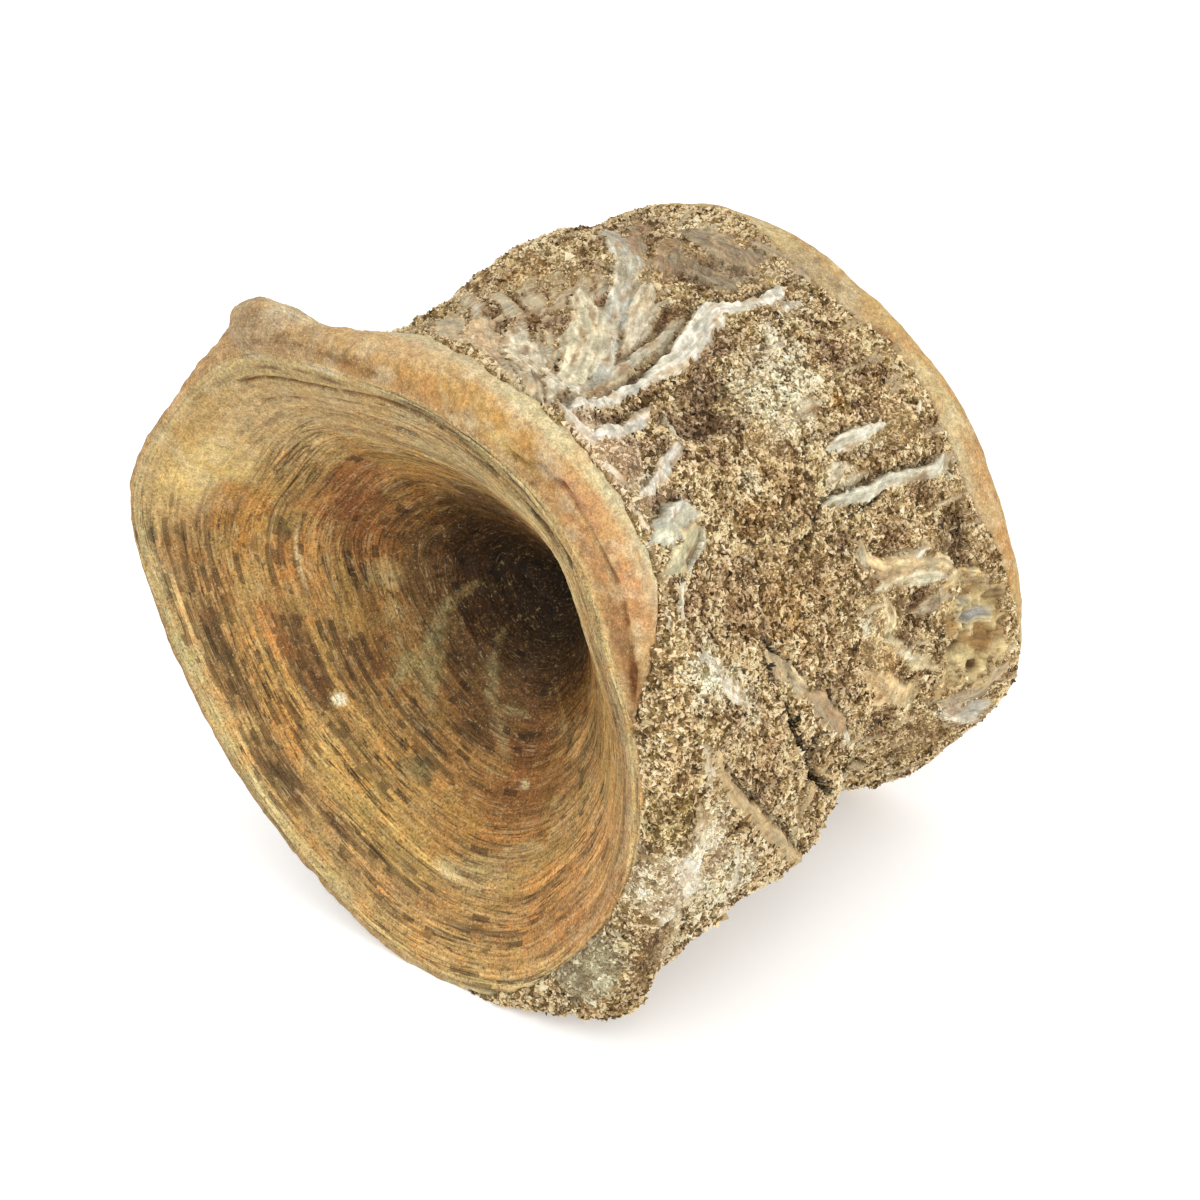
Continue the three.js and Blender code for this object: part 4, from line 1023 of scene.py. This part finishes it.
def lamella_field(degrees, back, points):
    """Height, colour and amount of the lamellae that stand out of the rock, the gaps beside them and between
    the fan's streaks, which are sunk and darkened with painted shadow, and coordinates across and along
    them."""
    streak, inside, reach, way = fan_streaks(degrees, back, points)
    plates = streak + 0.3 * rough(points, 1.2, 2, 53) + 0.35 * step(18, 9, reach)
    amount = inside * step(-0.35, 0.1, plates)
    height = 0.1 * inside * np.clip(streak, -0.5, 0.9)
    colour = ramp(streak, FAN_RAMP)
    # Painted shadow: the fan's lowest streaks are darkened, as well as sunk a little.
    shaded_gap = 0.5 * inside * step(-0.2, -0.5, streak)

    streak, bare, long_way = long_streaks(degrees, back, points)
    beside_fan = amount < 0.01
    way = np.where(beside_fan[..., None], long_way, way)
    bare = 0.6 * bare * (1 - amount)
    colour = toward(colour, bare * beside_fan, ramp(streak, LONG_RAMP))
    height = height + 0.25 * bare
    amount = np.maximum(amount, bare)

    wobble = rough(points, 0.8, 2, 41)
    crumbs = step(0.0, 0.6, rough(points, 0.9, 3, 63))
    for k, (line, tall, name) in enumerate(LAMELLAE):
        side, width, run, left = near_line(degrees, back, line, WAIST_DEGREE)
        ends = step(-0.2, 1.6, run) * step(-0.2, 1.6, left)
        sharp = min(1, tall / 0.6)
        lean = side / (width * (0.3 + 0.7 * ends))
        edge = streaky(run * 0.5, np.sign(side) * 3.3, 5.1 * k, 66)
        reach = np.abs(lean) + 0.4 * edge + (0.35 - 0.2 * sharp) * wobble
        here = step(1.4 - 0.2 * sharp, 0.4 + 0.5 * sharp, reach)
        shade, fibre = lamella_colour(name, side, run, lean, points, 9.7 * k)
        blade = tall * here * (0.3 + 0.7 * ends) * (0.34 + 0.2 * np.clip(lean, -1, 1)) + 0.08 * here * fibre
        height = height * (1 - here) + blade
        colour = toward(colour, here, shade)
        way = np.where((here > 0.05)[..., None], fibre_place(side, run, 3.0 * k + 11), way)
        patchy = (1 - 0.8 * sharp) * np.maximum(crumbs, step(0.0, -0.5, fibre))
        amount = np.maximum(amount, here * (1 - 0.8 * patchy))
        # Painted shadow on the rock just beyond each lamella's higher side.
        shadow_beside = step(0.95, 1.2, reach) * step(0.9, 0.3, side - width) * (side > 0) * min(1, tall)
        shaded_gap = np.maximum(shaded_gap * (1 - here), shadow_beside * ends)
    return height, colour, amount, shaded_gap, way


def rock_tone(degrees, back, points):
    """Mean colour of the granular rock: whiter clumps, and redder and darker hollows between them."""
    tone = painted(degrees, back, linear(ROCK_BASE), ROCK_SPOTS, rough(points, 1.5, 3, 44))
    clump = 0.3 * rough(points, 4.5, 2, 43) + 0.6 * rough(points, 1.5, 3, 54)
    return tone * np.exp(clump[..., None] * CLUMP_TINT) * ROCK_LIGHT * ROCK_TINT


def rock_surface():
    """The rock's grid, and over it the angles, colour, how bare of grains it is, how far it is buried in
    bone, and coordinates across and along its streaks."""
    part = np.linspace(-1, 1, ROCK_AROUND, endpoint=False)
    degrees = FINE_SIDE + 180 * part - FINENESS * np.sin(math.pi * part)
    front_skin = radius_at(FRONT_SKIN, degrees)
    back_skin = radius_at(BACK_SKIN, degrees)
    total = side_profile(degrees)[2][-1]
    start = front_skin - ROCK_OVERLAP
    end = total - back_skin + ROCK_OVERLAP
    over = start + np.linspace(0, 1, ROCK_ROWS)[:, None] * (end - start)
    grid, back = over_rim(degrees, over)
    turn = degrees + 0 * back

    wander = ragged(grid)
    inside = np.minimum(over - front_skin + wander, total - over - back_skin + wander)
    lumps = 0.45 * rough(grid, 5.0, 2, 45) + 0.42 * rough(grid, 1.5, 3, 46)
    height = (0.25 + 0.75 * step(0, 5, inside)) * lumps + swelling(turn, back, SWELLS, 0.4 * wander)
    ridge, ridge_tone, ridge_here, shaded_gap, way = lamella_field(turn, back, grid)
    crack = cut_depth(turn, back, CRACKS, WAIST_DEGREE, CRACK_EDGE, 0.3 * rough(grid, 0.8, 2, 42))
    hollow, cell_tone, cell_here = cell_depth(turn, back, grid)
    height = height * (1 - 0.75 * ridge_here) + ridge - 0.35 * shaded_gap - crack - hollow
    height -= 0.9 * step(0.35, -0.35, inside)

    bare = np.maximum(ridge_here, cell_here)
    soft = rough(grid, 2.0, 3, 68)
    for spot, share in CRUSTS:
        bare = np.maximum(bare, share * blob(turn, back, spot, soft))
    tone = toward(rock_tone(turn, back, grid), ridge_here, ridge_tone)
    tone = toward(tone, cell_here, cell_tone)
    # Painted shadow in the gaps by the lamellae, and painted shade darkening the open cracks by their depth.
    tone = tone * ((1 - 0.5 * shaded_gap) * (1 - 0.85 * step(0.15, 0.7, crack)))[..., None]
    buried = step(0.1, -0.3, inside)
    return raised(grid, height), degrees, tone, bare, buried, way


def rock_piece(grid, degrees, tone, bare, way):
    """The rock as one solid: its outside, closed by faces hidden inside both cones."""
    inset = SHELL / 2
    shares = np.array(CAP_SHARES)[:, None]
    front_back = funnel_depth(shares, FRONT_DEPTH) + 0 * degrees
    front_radius = shares * radius_at(FRONT_CREST, degrees)
    front = place(degrees, front_radius, front_back + inset, front_back / FRONT_DEPTH)
    shares = shares[::-1]
    rear_back = LENGTH - funnel_depth(shares, BACK_DEPTH) - inset
    rear_radius = shares * (radius_at(BACK_EDGE, degrees) - BACK_CREST_INSET)
    rear = place(degrees, rear_radius, rear_back + 0 * degrees)
    tips = on_axis([FRONT_DEPTH + inset, LENGTH - BACK_DEPTH - inset], [1, 0])
    hidden = np.zeros(front.shape)
    plain = hidden + linear(ROCK_BASE)
    marks = np.stack([bare, 0 * bare, 0 * bare], -1)
    attributes = {
        "tone": np.concatenate([plain, tone, plain]),
        "marks": np.concatenate([hidden, marks, hidden]),
        "way": np.concatenate([hidden, way, hidden]),
    }
    material = surface_material("granular_rock", rock_nodes)
    make_round_piece("rock", np.concatenate([front, grid, rear]), tips, material, attributes)


# ---------------------------------------------------------------- grains
GRAIN_PIECES = 4
GRAINS = 130000
GRAIN_LENGTH = 0.235
GRAIN_CORNERS = np.array([(1.1, 0.0, -0.3), (-0.6, 0.8, -0.3), (-0.6, -0.8, -0.3), (0.0, 0.0, 0.75)])
GRAIN_FACES = np.array([(0, 1, 3), (1, 2, 3), (2, 0, 3), (1, 0, 2)])
# Least and greatest width and thickness of a grain as shares of its length, and how much their lengths,
# corners and tilts vary.
GRAIN_WIDTHS = (0.5, 0.9)
GRAIN_THICKNESSES = (0.6, 1.0)
LENGTH_SPREAD = 0.3
CORNER_SPREAD = 0.2
TILT_SPREAD = 0.35
# The cream that pale grains lean to, their share, and the range of light and the hue of pale and dark ones.
GRAIN_CREAM = "#eee4d0"
PALE_SHARE = 0.64
PALE_LIGHT = (1.1, 2.6)
DARK_LIGHT = (0.06, 0.46)
PALE_HUE = [0.98, 1.0, 0.97]
DARK_HUE = [1.16, 0.95, 0.55]
GRAIN_BRIGHTEST = 0.95


def unit(vectors):
    """Vectors scaled to a length of one."""
    return vectors / np.linalg.norm(vectors, axis=1)[:, None]


def grain_places(grid, tone, bare, buried, rng):
    """Places, normals, colours and bareness of grains spread over the rock, with few on bare parts."""
    after = np.roll(grid, -1, axis=1)
    a, b, c, d = grid[:-1], grid[1:], after[1:], after[:-1]
    across = np.cross(c - a, d - b) / 2
    area = np.linalg.norm(across, axis=-1)
    keep = (1 - buried[:-1]) * (1 - 0.985 * np.minimum(1, 1.25 * bare[:-1]))
    chance = np.cumsum((area * keep).ravel())
    ticks = (np.arange(GRAINS) + rng.uniform(0, 1, GRAINS)) * chance[-1] / GRAINS
    row, column = np.unravel_index(np.searchsorted(chance, ticks), area.shape)
    u, v = rng.uniform(0, 1, (2, GRAINS, 1))
    near = a[row, column] * (1 - u) + d[row, column] * u
    far = b[row, column] * (1 - u) + c[row, column] * u
    normal = across[row, column] / area[row, column][:, None]
    return near * (1 - v) + far * v, normal, tone[row, column], bare[row, column]


def grain_points(middle, normal, rng):
    """The four corners of each grain, which lies roughly flat on the rock."""
    side = unit(np.cross(normal, rng.normal(size=(GRAINS, 3))))
    up = unit(normal + rng.normal(0, TILT_SPREAD, (GRAINS, 1)) * side)
    side = unit(np.cross(np.cross(up, side), up))
    cross = np.cross(up, side)
    size = GRAIN_LENGTH * np.exp(rng.normal(0, LENGTH_SPREAD, (GRAINS, 1)))
    width = rng.uniform(*GRAIN_WIDTHS, (GRAINS, 1))
    thickness = rng.uniform(*GRAIN_THICKNESSES, (GRAINS, 1))
    scale = size * np.concatenate([np.ones((GRAINS, 1)), width, thickness], 1)
    shape = GRAIN_CORNERS + rng.normal(0, CORNER_SPREAD, (GRAINS, 4, 3))
    shape = shape * scale[:, None, :]
    return middle[:, None] + (shape[..., :1] * side[:, None] + shape[..., 1:2] * cross[:, None]
                              + shape[..., 2:] * up[:, None])


def grain_colours(middle, tone, smooth, rng):
    """Colour of each grain, pale or dark, and nearer to the rock's own tone where the rock is smooth."""
    likely = PALE_SHARE + 0.85 * noise(middle / 0.6, 64) + 0.4 * noise(middle / 1.4, 65)
    pale = rng.uniform(0, 1, (GRAINS, 1)) < likely[:, None]
    plain = 1 - np.minimum(1, 1.5 * smooth[:, None])
    light = np.where(pale, rng.uniform(*PALE_LIGHT, (GRAINS, 1)), rng.uniform(*DARK_LIGHT, (GRAINS, 1)))
    light = 1 + (light - 1) * plain
    hue = np.where(pale, PALE_HUE, DARK_HUE) * (1 + rng.normal(0, 0.03, (GRAINS, 1)) * [1, 0, -1])
    hue = 1 + (hue - 1) * plain
    cream = np.where(pale, np.clip(0.35 * (light - 1), 0, 0.5), 0)[:, 0]
    colour = toward(tone, cream, linear(GRAIN_CREAM) * tone.mean(axis=1, keepdims=True) * 1.3) * light * hue
    return colour * np.minimum(1, GRAIN_BRIGHTEST / colour.max(axis=1, keepdims=True))


def grains(grid, tone, bare, buried):
    """Angular sand grains over the rock, as a few joined meshes."""
    rng = np.random.default_rng(SEED + 5)
    order = rng.permutation(GRAINS)
    places = grain_places(grid, tone, bare, buried, rng)
    middle, normal, colour, smooth = (values[order] for values in places)
    points = grain_points(middle, normal, rng)
    colour = grain_colours(middle, colour, smooth, rng)
    material = surface_material("sand_grains", grain_nodes)
    for k, part in enumerate(np.array_split(np.arange(GRAINS), GRAIN_PIECES)):
        faces = GRAIN_FACES + 4 * np.arange(len(part))[:, None, None]
        corners = points[part].reshape(-1, 3)
        tones_here = {"tone": np.repeat(colour[part][:, None], 4, axis=1)}
        make_piece(f"grains_{k + 1}", corners, [faces.reshape(-1, 3)], material, tones_here, smooth=False)


# ---------------------------------------------------------------- shader nodes
class Value:
    """A shader node's output. Sums, products and such of values make the maths nodes for them."""

    def __init__(self, socket):
        self.socket = socket
        self.tree = socket.id_data

    def maths(self, operation, a, b=0.0):
        """What a maths node makes of two values or numbers."""
        return Value(add(self.tree, "ShaderNodeMath", {0: a, 1: b}, operation=operation).outputs[0])

    def __add__(self, other):
        return self.maths("ADD", self, other)

    def __sub__(self, other):
        return self.maths("SUBTRACT", self, other)

    def __rsub__(self, other):
        return self.maths("SUBTRACT", other, self)

    def __mul__(self, other):
        return self.maths("MULTIPLY", self, other)

    def __truediv__(self, other):
        return self.maths("DIVIDE", self, other)

    def __lt__(self, other):
        return self.maths("LESS_THAN", self, other)

    def __abs__(self):
        return self.maths("ABSOLUTE", self)

    __rmul__ = __mul__


def add(tree, kind, inputs=None, **settings):
    """A shader node with its settings, and its inputs set to numbers or joined to other nodes' outputs."""
    node = tree.nodes.new(kind)
    for key, value in settings.items():
        setattr(node, key, value)
    for socket, source in (inputs or {}).items():
        if isinstance(source, Value):
            tree.links.new(source.socket, node.inputs[socket])
        else:
            node.inputs[socket].default_value = source
    return node


def attribute(tree, name):
    """A mesh attribute."""
    return Value(add(tree, "ShaderNodeAttribute", attribute_name=name).outputs["Vector"])


def position_mm(tree):
    """Where a place is, in millimetres."""
    position = Value(add(tree, "ShaderNodeNewGeometry").outputs["Position"])
    return stretched(position, (1 / MM, 1 / MM, 1 / MM))


def parts(vector):
    """The three parts of a vector."""
    return [Value(socket) for socket in add(vector.tree, "ShaderNodeSeparateXYZ", {0: vector}).outputs]


def stretched(vector, scale):
    """A vector scaled along each of its axes."""
    inputs = {0: vector, 1: scale}
    return Value(add(vector.tree, "ShaderNodeVectorMath", inputs, operation="MULTIPLY").outputs[0])


def noise_value(vector, scale, detail, roughness):
    """Noise of 0 to 1 at a place."""
    inputs = {"Vector": vector, "Scale": scale, "Detail": detail, "Roughness": roughness}
    return Value(add(vector.tree, "ShaderNodeTexNoise", inputs).outputs["Fac"])


def streaks(vector, stretch, detail, roughness):
    """Noise drawn out along some axes of a place."""
    return noise_value(stretched(vector, stretch), 1.0, detail, roughness)


def random_value(tree, dimensions, **inputs):
    """An unrelated random value for each different input."""
    node = add(tree, "ShaderNodeTexWhiteNoise", inputs, noise_dimensions=dimensions)
    return Value(node.outputs["Value"])


def mapped(value, low, high, new_low=0.0, new_high=1.0):
    """A value carried from one range to another, and kept inside it."""
    inputs = {"Value": value, "From Min": low, "From Max": high, "To Min": new_low, "To Max": new_high}
    return Value(add(value.tree, "ShaderNodeMapRange", inputs).outputs["Result"])


def between(factor, a, b):
    """A value between two others."""
    return Value(add(factor.tree, "ShaderNodeMix", {"Factor": factor, 2: a, 3: b}).outputs[0])


def mixed(factor, a, b, blend="MIX"):
    """A colour between two others."""
    tree = next(value.tree for value in (factor, a, b) if isinstance(value, Value))
    inputs = {"Factor": factor, 6: a, 7: b}
    return Value(add(tree, "ShaderNodeMix", inputs, data_type="RGBA", blend_type=blend).outputs[2])


def tinted(colour, tint):
    """A colour multiplied by another one or by a value."""
    return mixed(1.0, colour, tint, "MULTIPLY")


def stained(colour, amount, tint):
    """A colour tinted by an amount."""
    return mixed(amount, colour, tinted(colour, tint))


def rgba(name):
    """A colour written #rrggbb, for a socket."""
    return (*linear(name), 1.0)


# ---------------------------------------------------------------- materials
# Colours here are written as they look in the studio. A surface reflects this share of them.
ALBEDO = 0.78
BUMP_STRENGTH = 0.6
SPECULAR = 0.2
WARM_CLOUD = (1.06, 1.0, 0.86, 1)
COOL_CLOUD = (0.97, 1.0, 1.03, 1)
RUST = (1.08, 0.92, 0.78, 1)
OLIVE = (0.93, 0.98, 0.86, 1)
BLOCK_SHADE = (0.24, 0.21, 0.17, 1)
PIT_SHADE = (0.98, 0.84, 0.56, 1)
ROCK_SHADE = (1.06, 0.94, 0.74, 1)
LIP_CREAM = "#ebdcb6"
LIP_PEACH = "#c98e5c"
DARK_LINE = "#4a371f"
BRIGHT_LINE = "#e3cf9c"
DARK_SPECK = "#49361f"
BRIGHT_SPECK = "#e9d9b0"
# A block of a growth ring: its height as a share of the rings' pitch, and its least and greatest length.
BLOCK_HEIGHT = 0.5
BLOCK_LENGTHS = (1.2, 4.2)


def surface_material(name, build):
    """A material made once. Build gives its colour, roughness and bump height, and the bump's distance."""
    if name in bpy.data.materials:
        return bpy.data.materials[name]
    material = bpy.data.materials.new(name)
    material.use_nodes = True
    tree = material.node_tree
    tree.nodes.clear()
    colour, roughness, height, distance = build(tree)
    bump_inputs = {"Height": height, "Strength": BUMP_STRENGTH, "Distance": distance * MM}
    bump = add(tree, "ShaderNodeBump", bump_inputs)
    shader = add(tree, "ShaderNodeBsdfPrincipled", {
        "Base Color": tinted(colour, (ALBEDO, ALBEDO, ALBEDO, 1.0)), "Roughness": roughness,
        "Normal": Value(bump.outputs[0]), "IOR": 1.5, "Specular IOR Level": SPECULAR,
    })
    add(tree, "ShaderNodeOutputMaterial", {"Surface": Value(shader.outputs[0])})
    return material


def ring_blocks(growth, wander):
    """A random value for each short block of each thin growth ring, with wandering edges, and 1 on every
    other ring."""
    x, y, across = parts(growth)
    along = y.maths("ARCTAN2", y, x) * RING_REACH + wander * 1.6
    across = across + wander * 0.16
    row = across / (BLOCK_HEIGHT * RING_PITCH)
    row = row.maths("FLOOR", row)
    shift = random_value(growth.tree, "1D", W=row)
    block = along / mapped(shift, 0, 1, *BLOCK_LENGTHS) + shift * 37.0
    block = block.maths("FLOOR", block)
    spot = Value(add(growth.tree, "ShaderNodeCombineXYZ", {0: row, 1: block}).outputs[0])
    half = row * 0.5
    return random_value(growth.tree, "2D", Vector=spot), half.maths("FRACT", half) * 2.0


def bone_nodes(tree):
    """Growth rings from cream to dark brown, dark blocks, broken thin lines, mottling, pits, grit, and
    painted shade deep in the cup.
    """
    growth = attribute(tree, "growth")
    dark, deep, lip = parts(attribute(tree, "marks"))
    place_mm = position_mm(tree)
    cup = 1 - lip

    cloud = noise_value(place_mm, 0.45, 4, 0.62)
    blotch = noise_value(place_mm, 0.42, 4, 0.6)
    grit = noise_value(place_mm, 4.5, 2, 0.7)
    bands = streaks(growth, (0.02, 0.02, 0.9), 3, 0.9)
    lines = streaks(growth, (0.05, 0.05, 1.6), 2, 0.7)
    breaks = streaks(growth, (0.3, 0.3, 1.3), 3, 0.6)
    calm = mapped(streaks(growth, (0.05, 0.05, 0.22), 3, 0.6), 0.42, 0.6)
    drawn = streaks(growth, (0.35, 0.35, 2.2), 4, 0.7)
    mottle = between(cup * 0.6, noise_value(place_mm, 1.5, 4, 0.68), drawn)
    thread = streaks(growth, (1.3, 1.3, 6.0), 1, 0.5)
    fine = between(cup * 0.5, noise_value(place_mm, 8.0, 1, 0.5), thread)

    ring_shade = between(calm * 0.6, mapped(bands, 0.36, 0.64, 0.36, 1.5), 1.0)
    colour = tinted(attribute(tree, "tone"), between(cup, 1.0, ring_shade))
    colour = tinted(colour, mixed(mapped(cloud, 0.35, 0.65), WARM_CLOUD, COOL_CLOUD))
    colour = stained(colour, mapped(blotch, 0.5, 0.62, 0.0, 0.8) * cup, RUST)
    colour = stained(colour, mapped(blotch, 0.46, 0.36, 0.0, 0.8) * cup, OLIVE)
    colour = mixed(mapped(blotch, 0.5, 0.66, 0.0, 0.34) * lip, colour, rgba(LIP_CREAM))
    colour = mixed(mapped(blotch, 0.46, 0.32, 0.0, 0.35) * lip, colour, rgba(LIP_PEACH))
    colour = stained(colour, mapped(lip, 0, 1, 1.0, 0.8), mapped(mottle, 0.32, 0.68, 0.62, 1.36))
    sand = mapped(lip, 0, 1, 1.0, 0.65)
    colour = stained(colour, sand, mapped(grit, 0.3, 0.7, 1.26, 0.74))
    colour = stained(colour, sand, mapped(fine, 0.35, 0.65, 0.74, 1.26))

    thin = mapped(abs(lines - 0.5), 0.03, 0.008) * mapped(breaks, 0.42, 0.52) * mapped(calm, 0, 1, 1.2, 0.5)
    colour = mixed(thin * cup * 0.75, colour, rgba(DARK_LINE))
    bright = mapped(abs(lines - 0.56), 0.02, 0.004) * mapped(breaks, 0.56, 0.46)
    colour = mixed(bright * cup * 0.4, colour, rgba(BRIGHT_LINE))

    value, even = ring_blocks(growth, mottle - 0.5)
    likely = dark * mapped(even, 0, 1, 0.3, 0.95) * mapped(bands, 0.7, 0.35, 0.4, 1.3) + 0.02
    filled = (value < likely) * cup * mapped(grit, 0.62, 0.44, 0.2, 0.95)
    colour = stained(colour, filled * mapped(value, 0.0, 0.6, 1.0, 0.55), BLOCK_SHADE)

    speck = mapped(grit, 0.57, 0.68, 0.0, 0.6) * mapped(lip, 0, 1, 1, 0.25)
    colour = mixed(speck, colour, rgba(DARK_SPECK))
    # Painted shade deep in the cup: fewer bright specks, and colour darkened and browned towards the point.
    light = mapped(grit, 0.38, 0.28, 0.0, 0.5) * mapped(deep, 0, 1, 1, 0.3)
    colour = mixed(light, colour, rgba(BRIGHT_SPECK))
    colour = stained(colour, deep * 0.9, mapped(grit, 0.34, 0.6, 0.95, 0.3))
    colour = stained(colour, deep, PIT_SHADE)
    return colour, mapped(cloud, 0.3, 0.7, 0.55, 0.75), bands * cup + mottle * 0.8 + grit * 0.4, 0.16


def rock_nodes(tree):
    """Rock of pale squiggly flecks with dark gaps between them, and smoother mottled lamellae."""
    tone = attribute(tree, "tone")
    bare = parts(attribute(tree, "marks"))[0]
    place_mm = position_mm(tree)
    squiggle = noise_value(place_mm, 1.7, 2, 0.6)
    grit = noise_value(place_mm, 3.4, 2, 0.7)
    cloud = noise_value(place_mm, 0.8, 3, 0.65)
    streak = streaks(attribute(tree, "way"), (2.6, 2.6, 1.0), 3, 0.7)

    crumb = mapped(abs(squiggle - 0.5), 0.0, 0.05, 1.3, 0.5) * mapped(grit, 0.4, 0.6, 0.5, 1.2)
    rock = tinted(tinted(tone, crumb), ROCK_SHADE)
    clean = tinted(tone, mapped(cloud, 0.3, 0.7, 0.74, 1.18))
    clean = tinted(clean, mapped(streak, 0.32, 0.66, 0.6, 1.24))
    clean = tinted(clean, mapped(grit, 0.3, 0.7, 0.84, 1.12))
    colour = mixed(mapped(bare + cloud * 0.5, 0.62, 0.86), rock, clean)
    return colour, mapped(cloud, 0.3, 0.7, 0.6, 0.85), grit * 0.8 + streak * bare, 0.25


def grain_nodes(tree):
    """Grains of one colour each, a little mottled."""
    grit = noise_value(position_mm(tree), 6.0, 2, 0.55)
    colour = tinted(attribute(tree, "tone"), mapped(grit, 0.3, 0.7, 0.85, 1.15))
    return colour, mapped(grit, 0.3, 0.7, 0.5, 0.75), grit, 0.05


# ---------------------------------------------------------------- floor, light and camera
WHITE = (1, 1, 1, 1)
FLOOR_SIZE = 6.0
FLOOR_GREY = (0.8, 0.8, 0.8, 1)
FLOOR_ROUGHNESS = 0.9
FLOOR_GLOW = 0.3
SKY_STRENGTH = 1.02
LIGHT_TARGET = (0, 0, 0.03)
# Soft square lights: azimuth and elevation in degrees, distance and size in metres, power in watts.
LIGHTS = {
    "key": (20, 62, 0.55, 0.45, 0.8),
    "side": (85, 15, 0.6, 0.4, 1.4),
    "left": (-40, 35, 0.6, 0.4, 0.4),
}
CAMERA_AZIMUTH = 36.8
CAMERA_ELEVATION = 27.0
CAMERA_DISTANCE = 0.185
CAMERA_TARGET = (0.00108, 0.0, 0.0264)
CAMERA_LENS = 60.65
CAMERA_SENSOR = 36
CAMERA_RANGE = (0.01, 20)


def floor():
    """The pale studio floor, which glows a little."""
    bpy.ops.mesh.primitive_plane_add(size=FLOOR_SIZE, location=(0, 0, 0))
    plane = bpy.context.object
    plane.name = "floor"
    material = bpy.data.materials.new("pale_floor")
    material.use_nodes = True
    shader = material.node_tree.nodes["Principled BSDF"]
    shader.inputs["Base Color"].default_value = FLOOR_GREY
    shader.inputs["Roughness"].default_value = FLOOR_ROUGHNESS
    shader.inputs["Emission Color"].default_value = WHITE
    shader.inputs["Emission Strength"].default_value = FLOOR_GLOW
    plane.data.materials.append(material)


def aimed(name, data, azimuth, elevation, distance, target):
    """A light or camera that faces a target in metres, at a direction in degrees and a distance from it."""
    a, e = math.radians(azimuth), math.radians(elevation)
    away = np.array([math.sin(a) * math.cos(e), -math.cos(a) * math.cos(e), math.sin(e)])
    thing = bpy.data.objects.new(name, data)
    thing.location = np.array(target) + distance * away
    thing.rotation_euler = (math.pi / 2 - e, 0, a)
    bpy.context.collection.objects.link(thing)
    return thing


def lights():
    """White light from all round, and three soft lamps."""
    world = bpy.data.worlds.new("studio")
    world.use_nodes = True
    background = world.node_tree.nodes["Background"]
    background.inputs["Color"].default_value = WHITE
    background.inputs["Strength"].default_value = SKY_STRENGTH
    bpy.context.scene.world = world
    for name, (azimuth, elevation, distance, size, power) in LIGHTS.items():
        light = bpy.data.lights.new(name, "AREA")
        light.size = size
        light.energy = power
        aimed(name, light, azimuth, elevation, distance, LIGHT_TARGET)


def camera():
    """The camera, where the photo was taken from."""
    data = bpy.data.cameras.new("camera")
    data.sensor_width = CAMERA_SENSOR
    data.lens = CAMERA_LENS
    data.clip_start, data.clip_end = CAMERA_RANGE
    view = aimed("camera", data, CAMERA_AZIMUTH, CAMERA_ELEVATION, CAMERA_DISTANCE, CAMERA_TARGET)
    bpy.context.scene.camera = view
    bpy.context.scene.view_settings.view_transform = "Standard"


# ---------------------------------------------------------------- the fossil
camera()
floor()
lights()
front_cone()
back_cone()
surface, angles, tones, bareness, under, ways = rock_surface()
rock_piece(surface, angles, tones, bareness, ways)
grains(surface, tones, bareness, under)
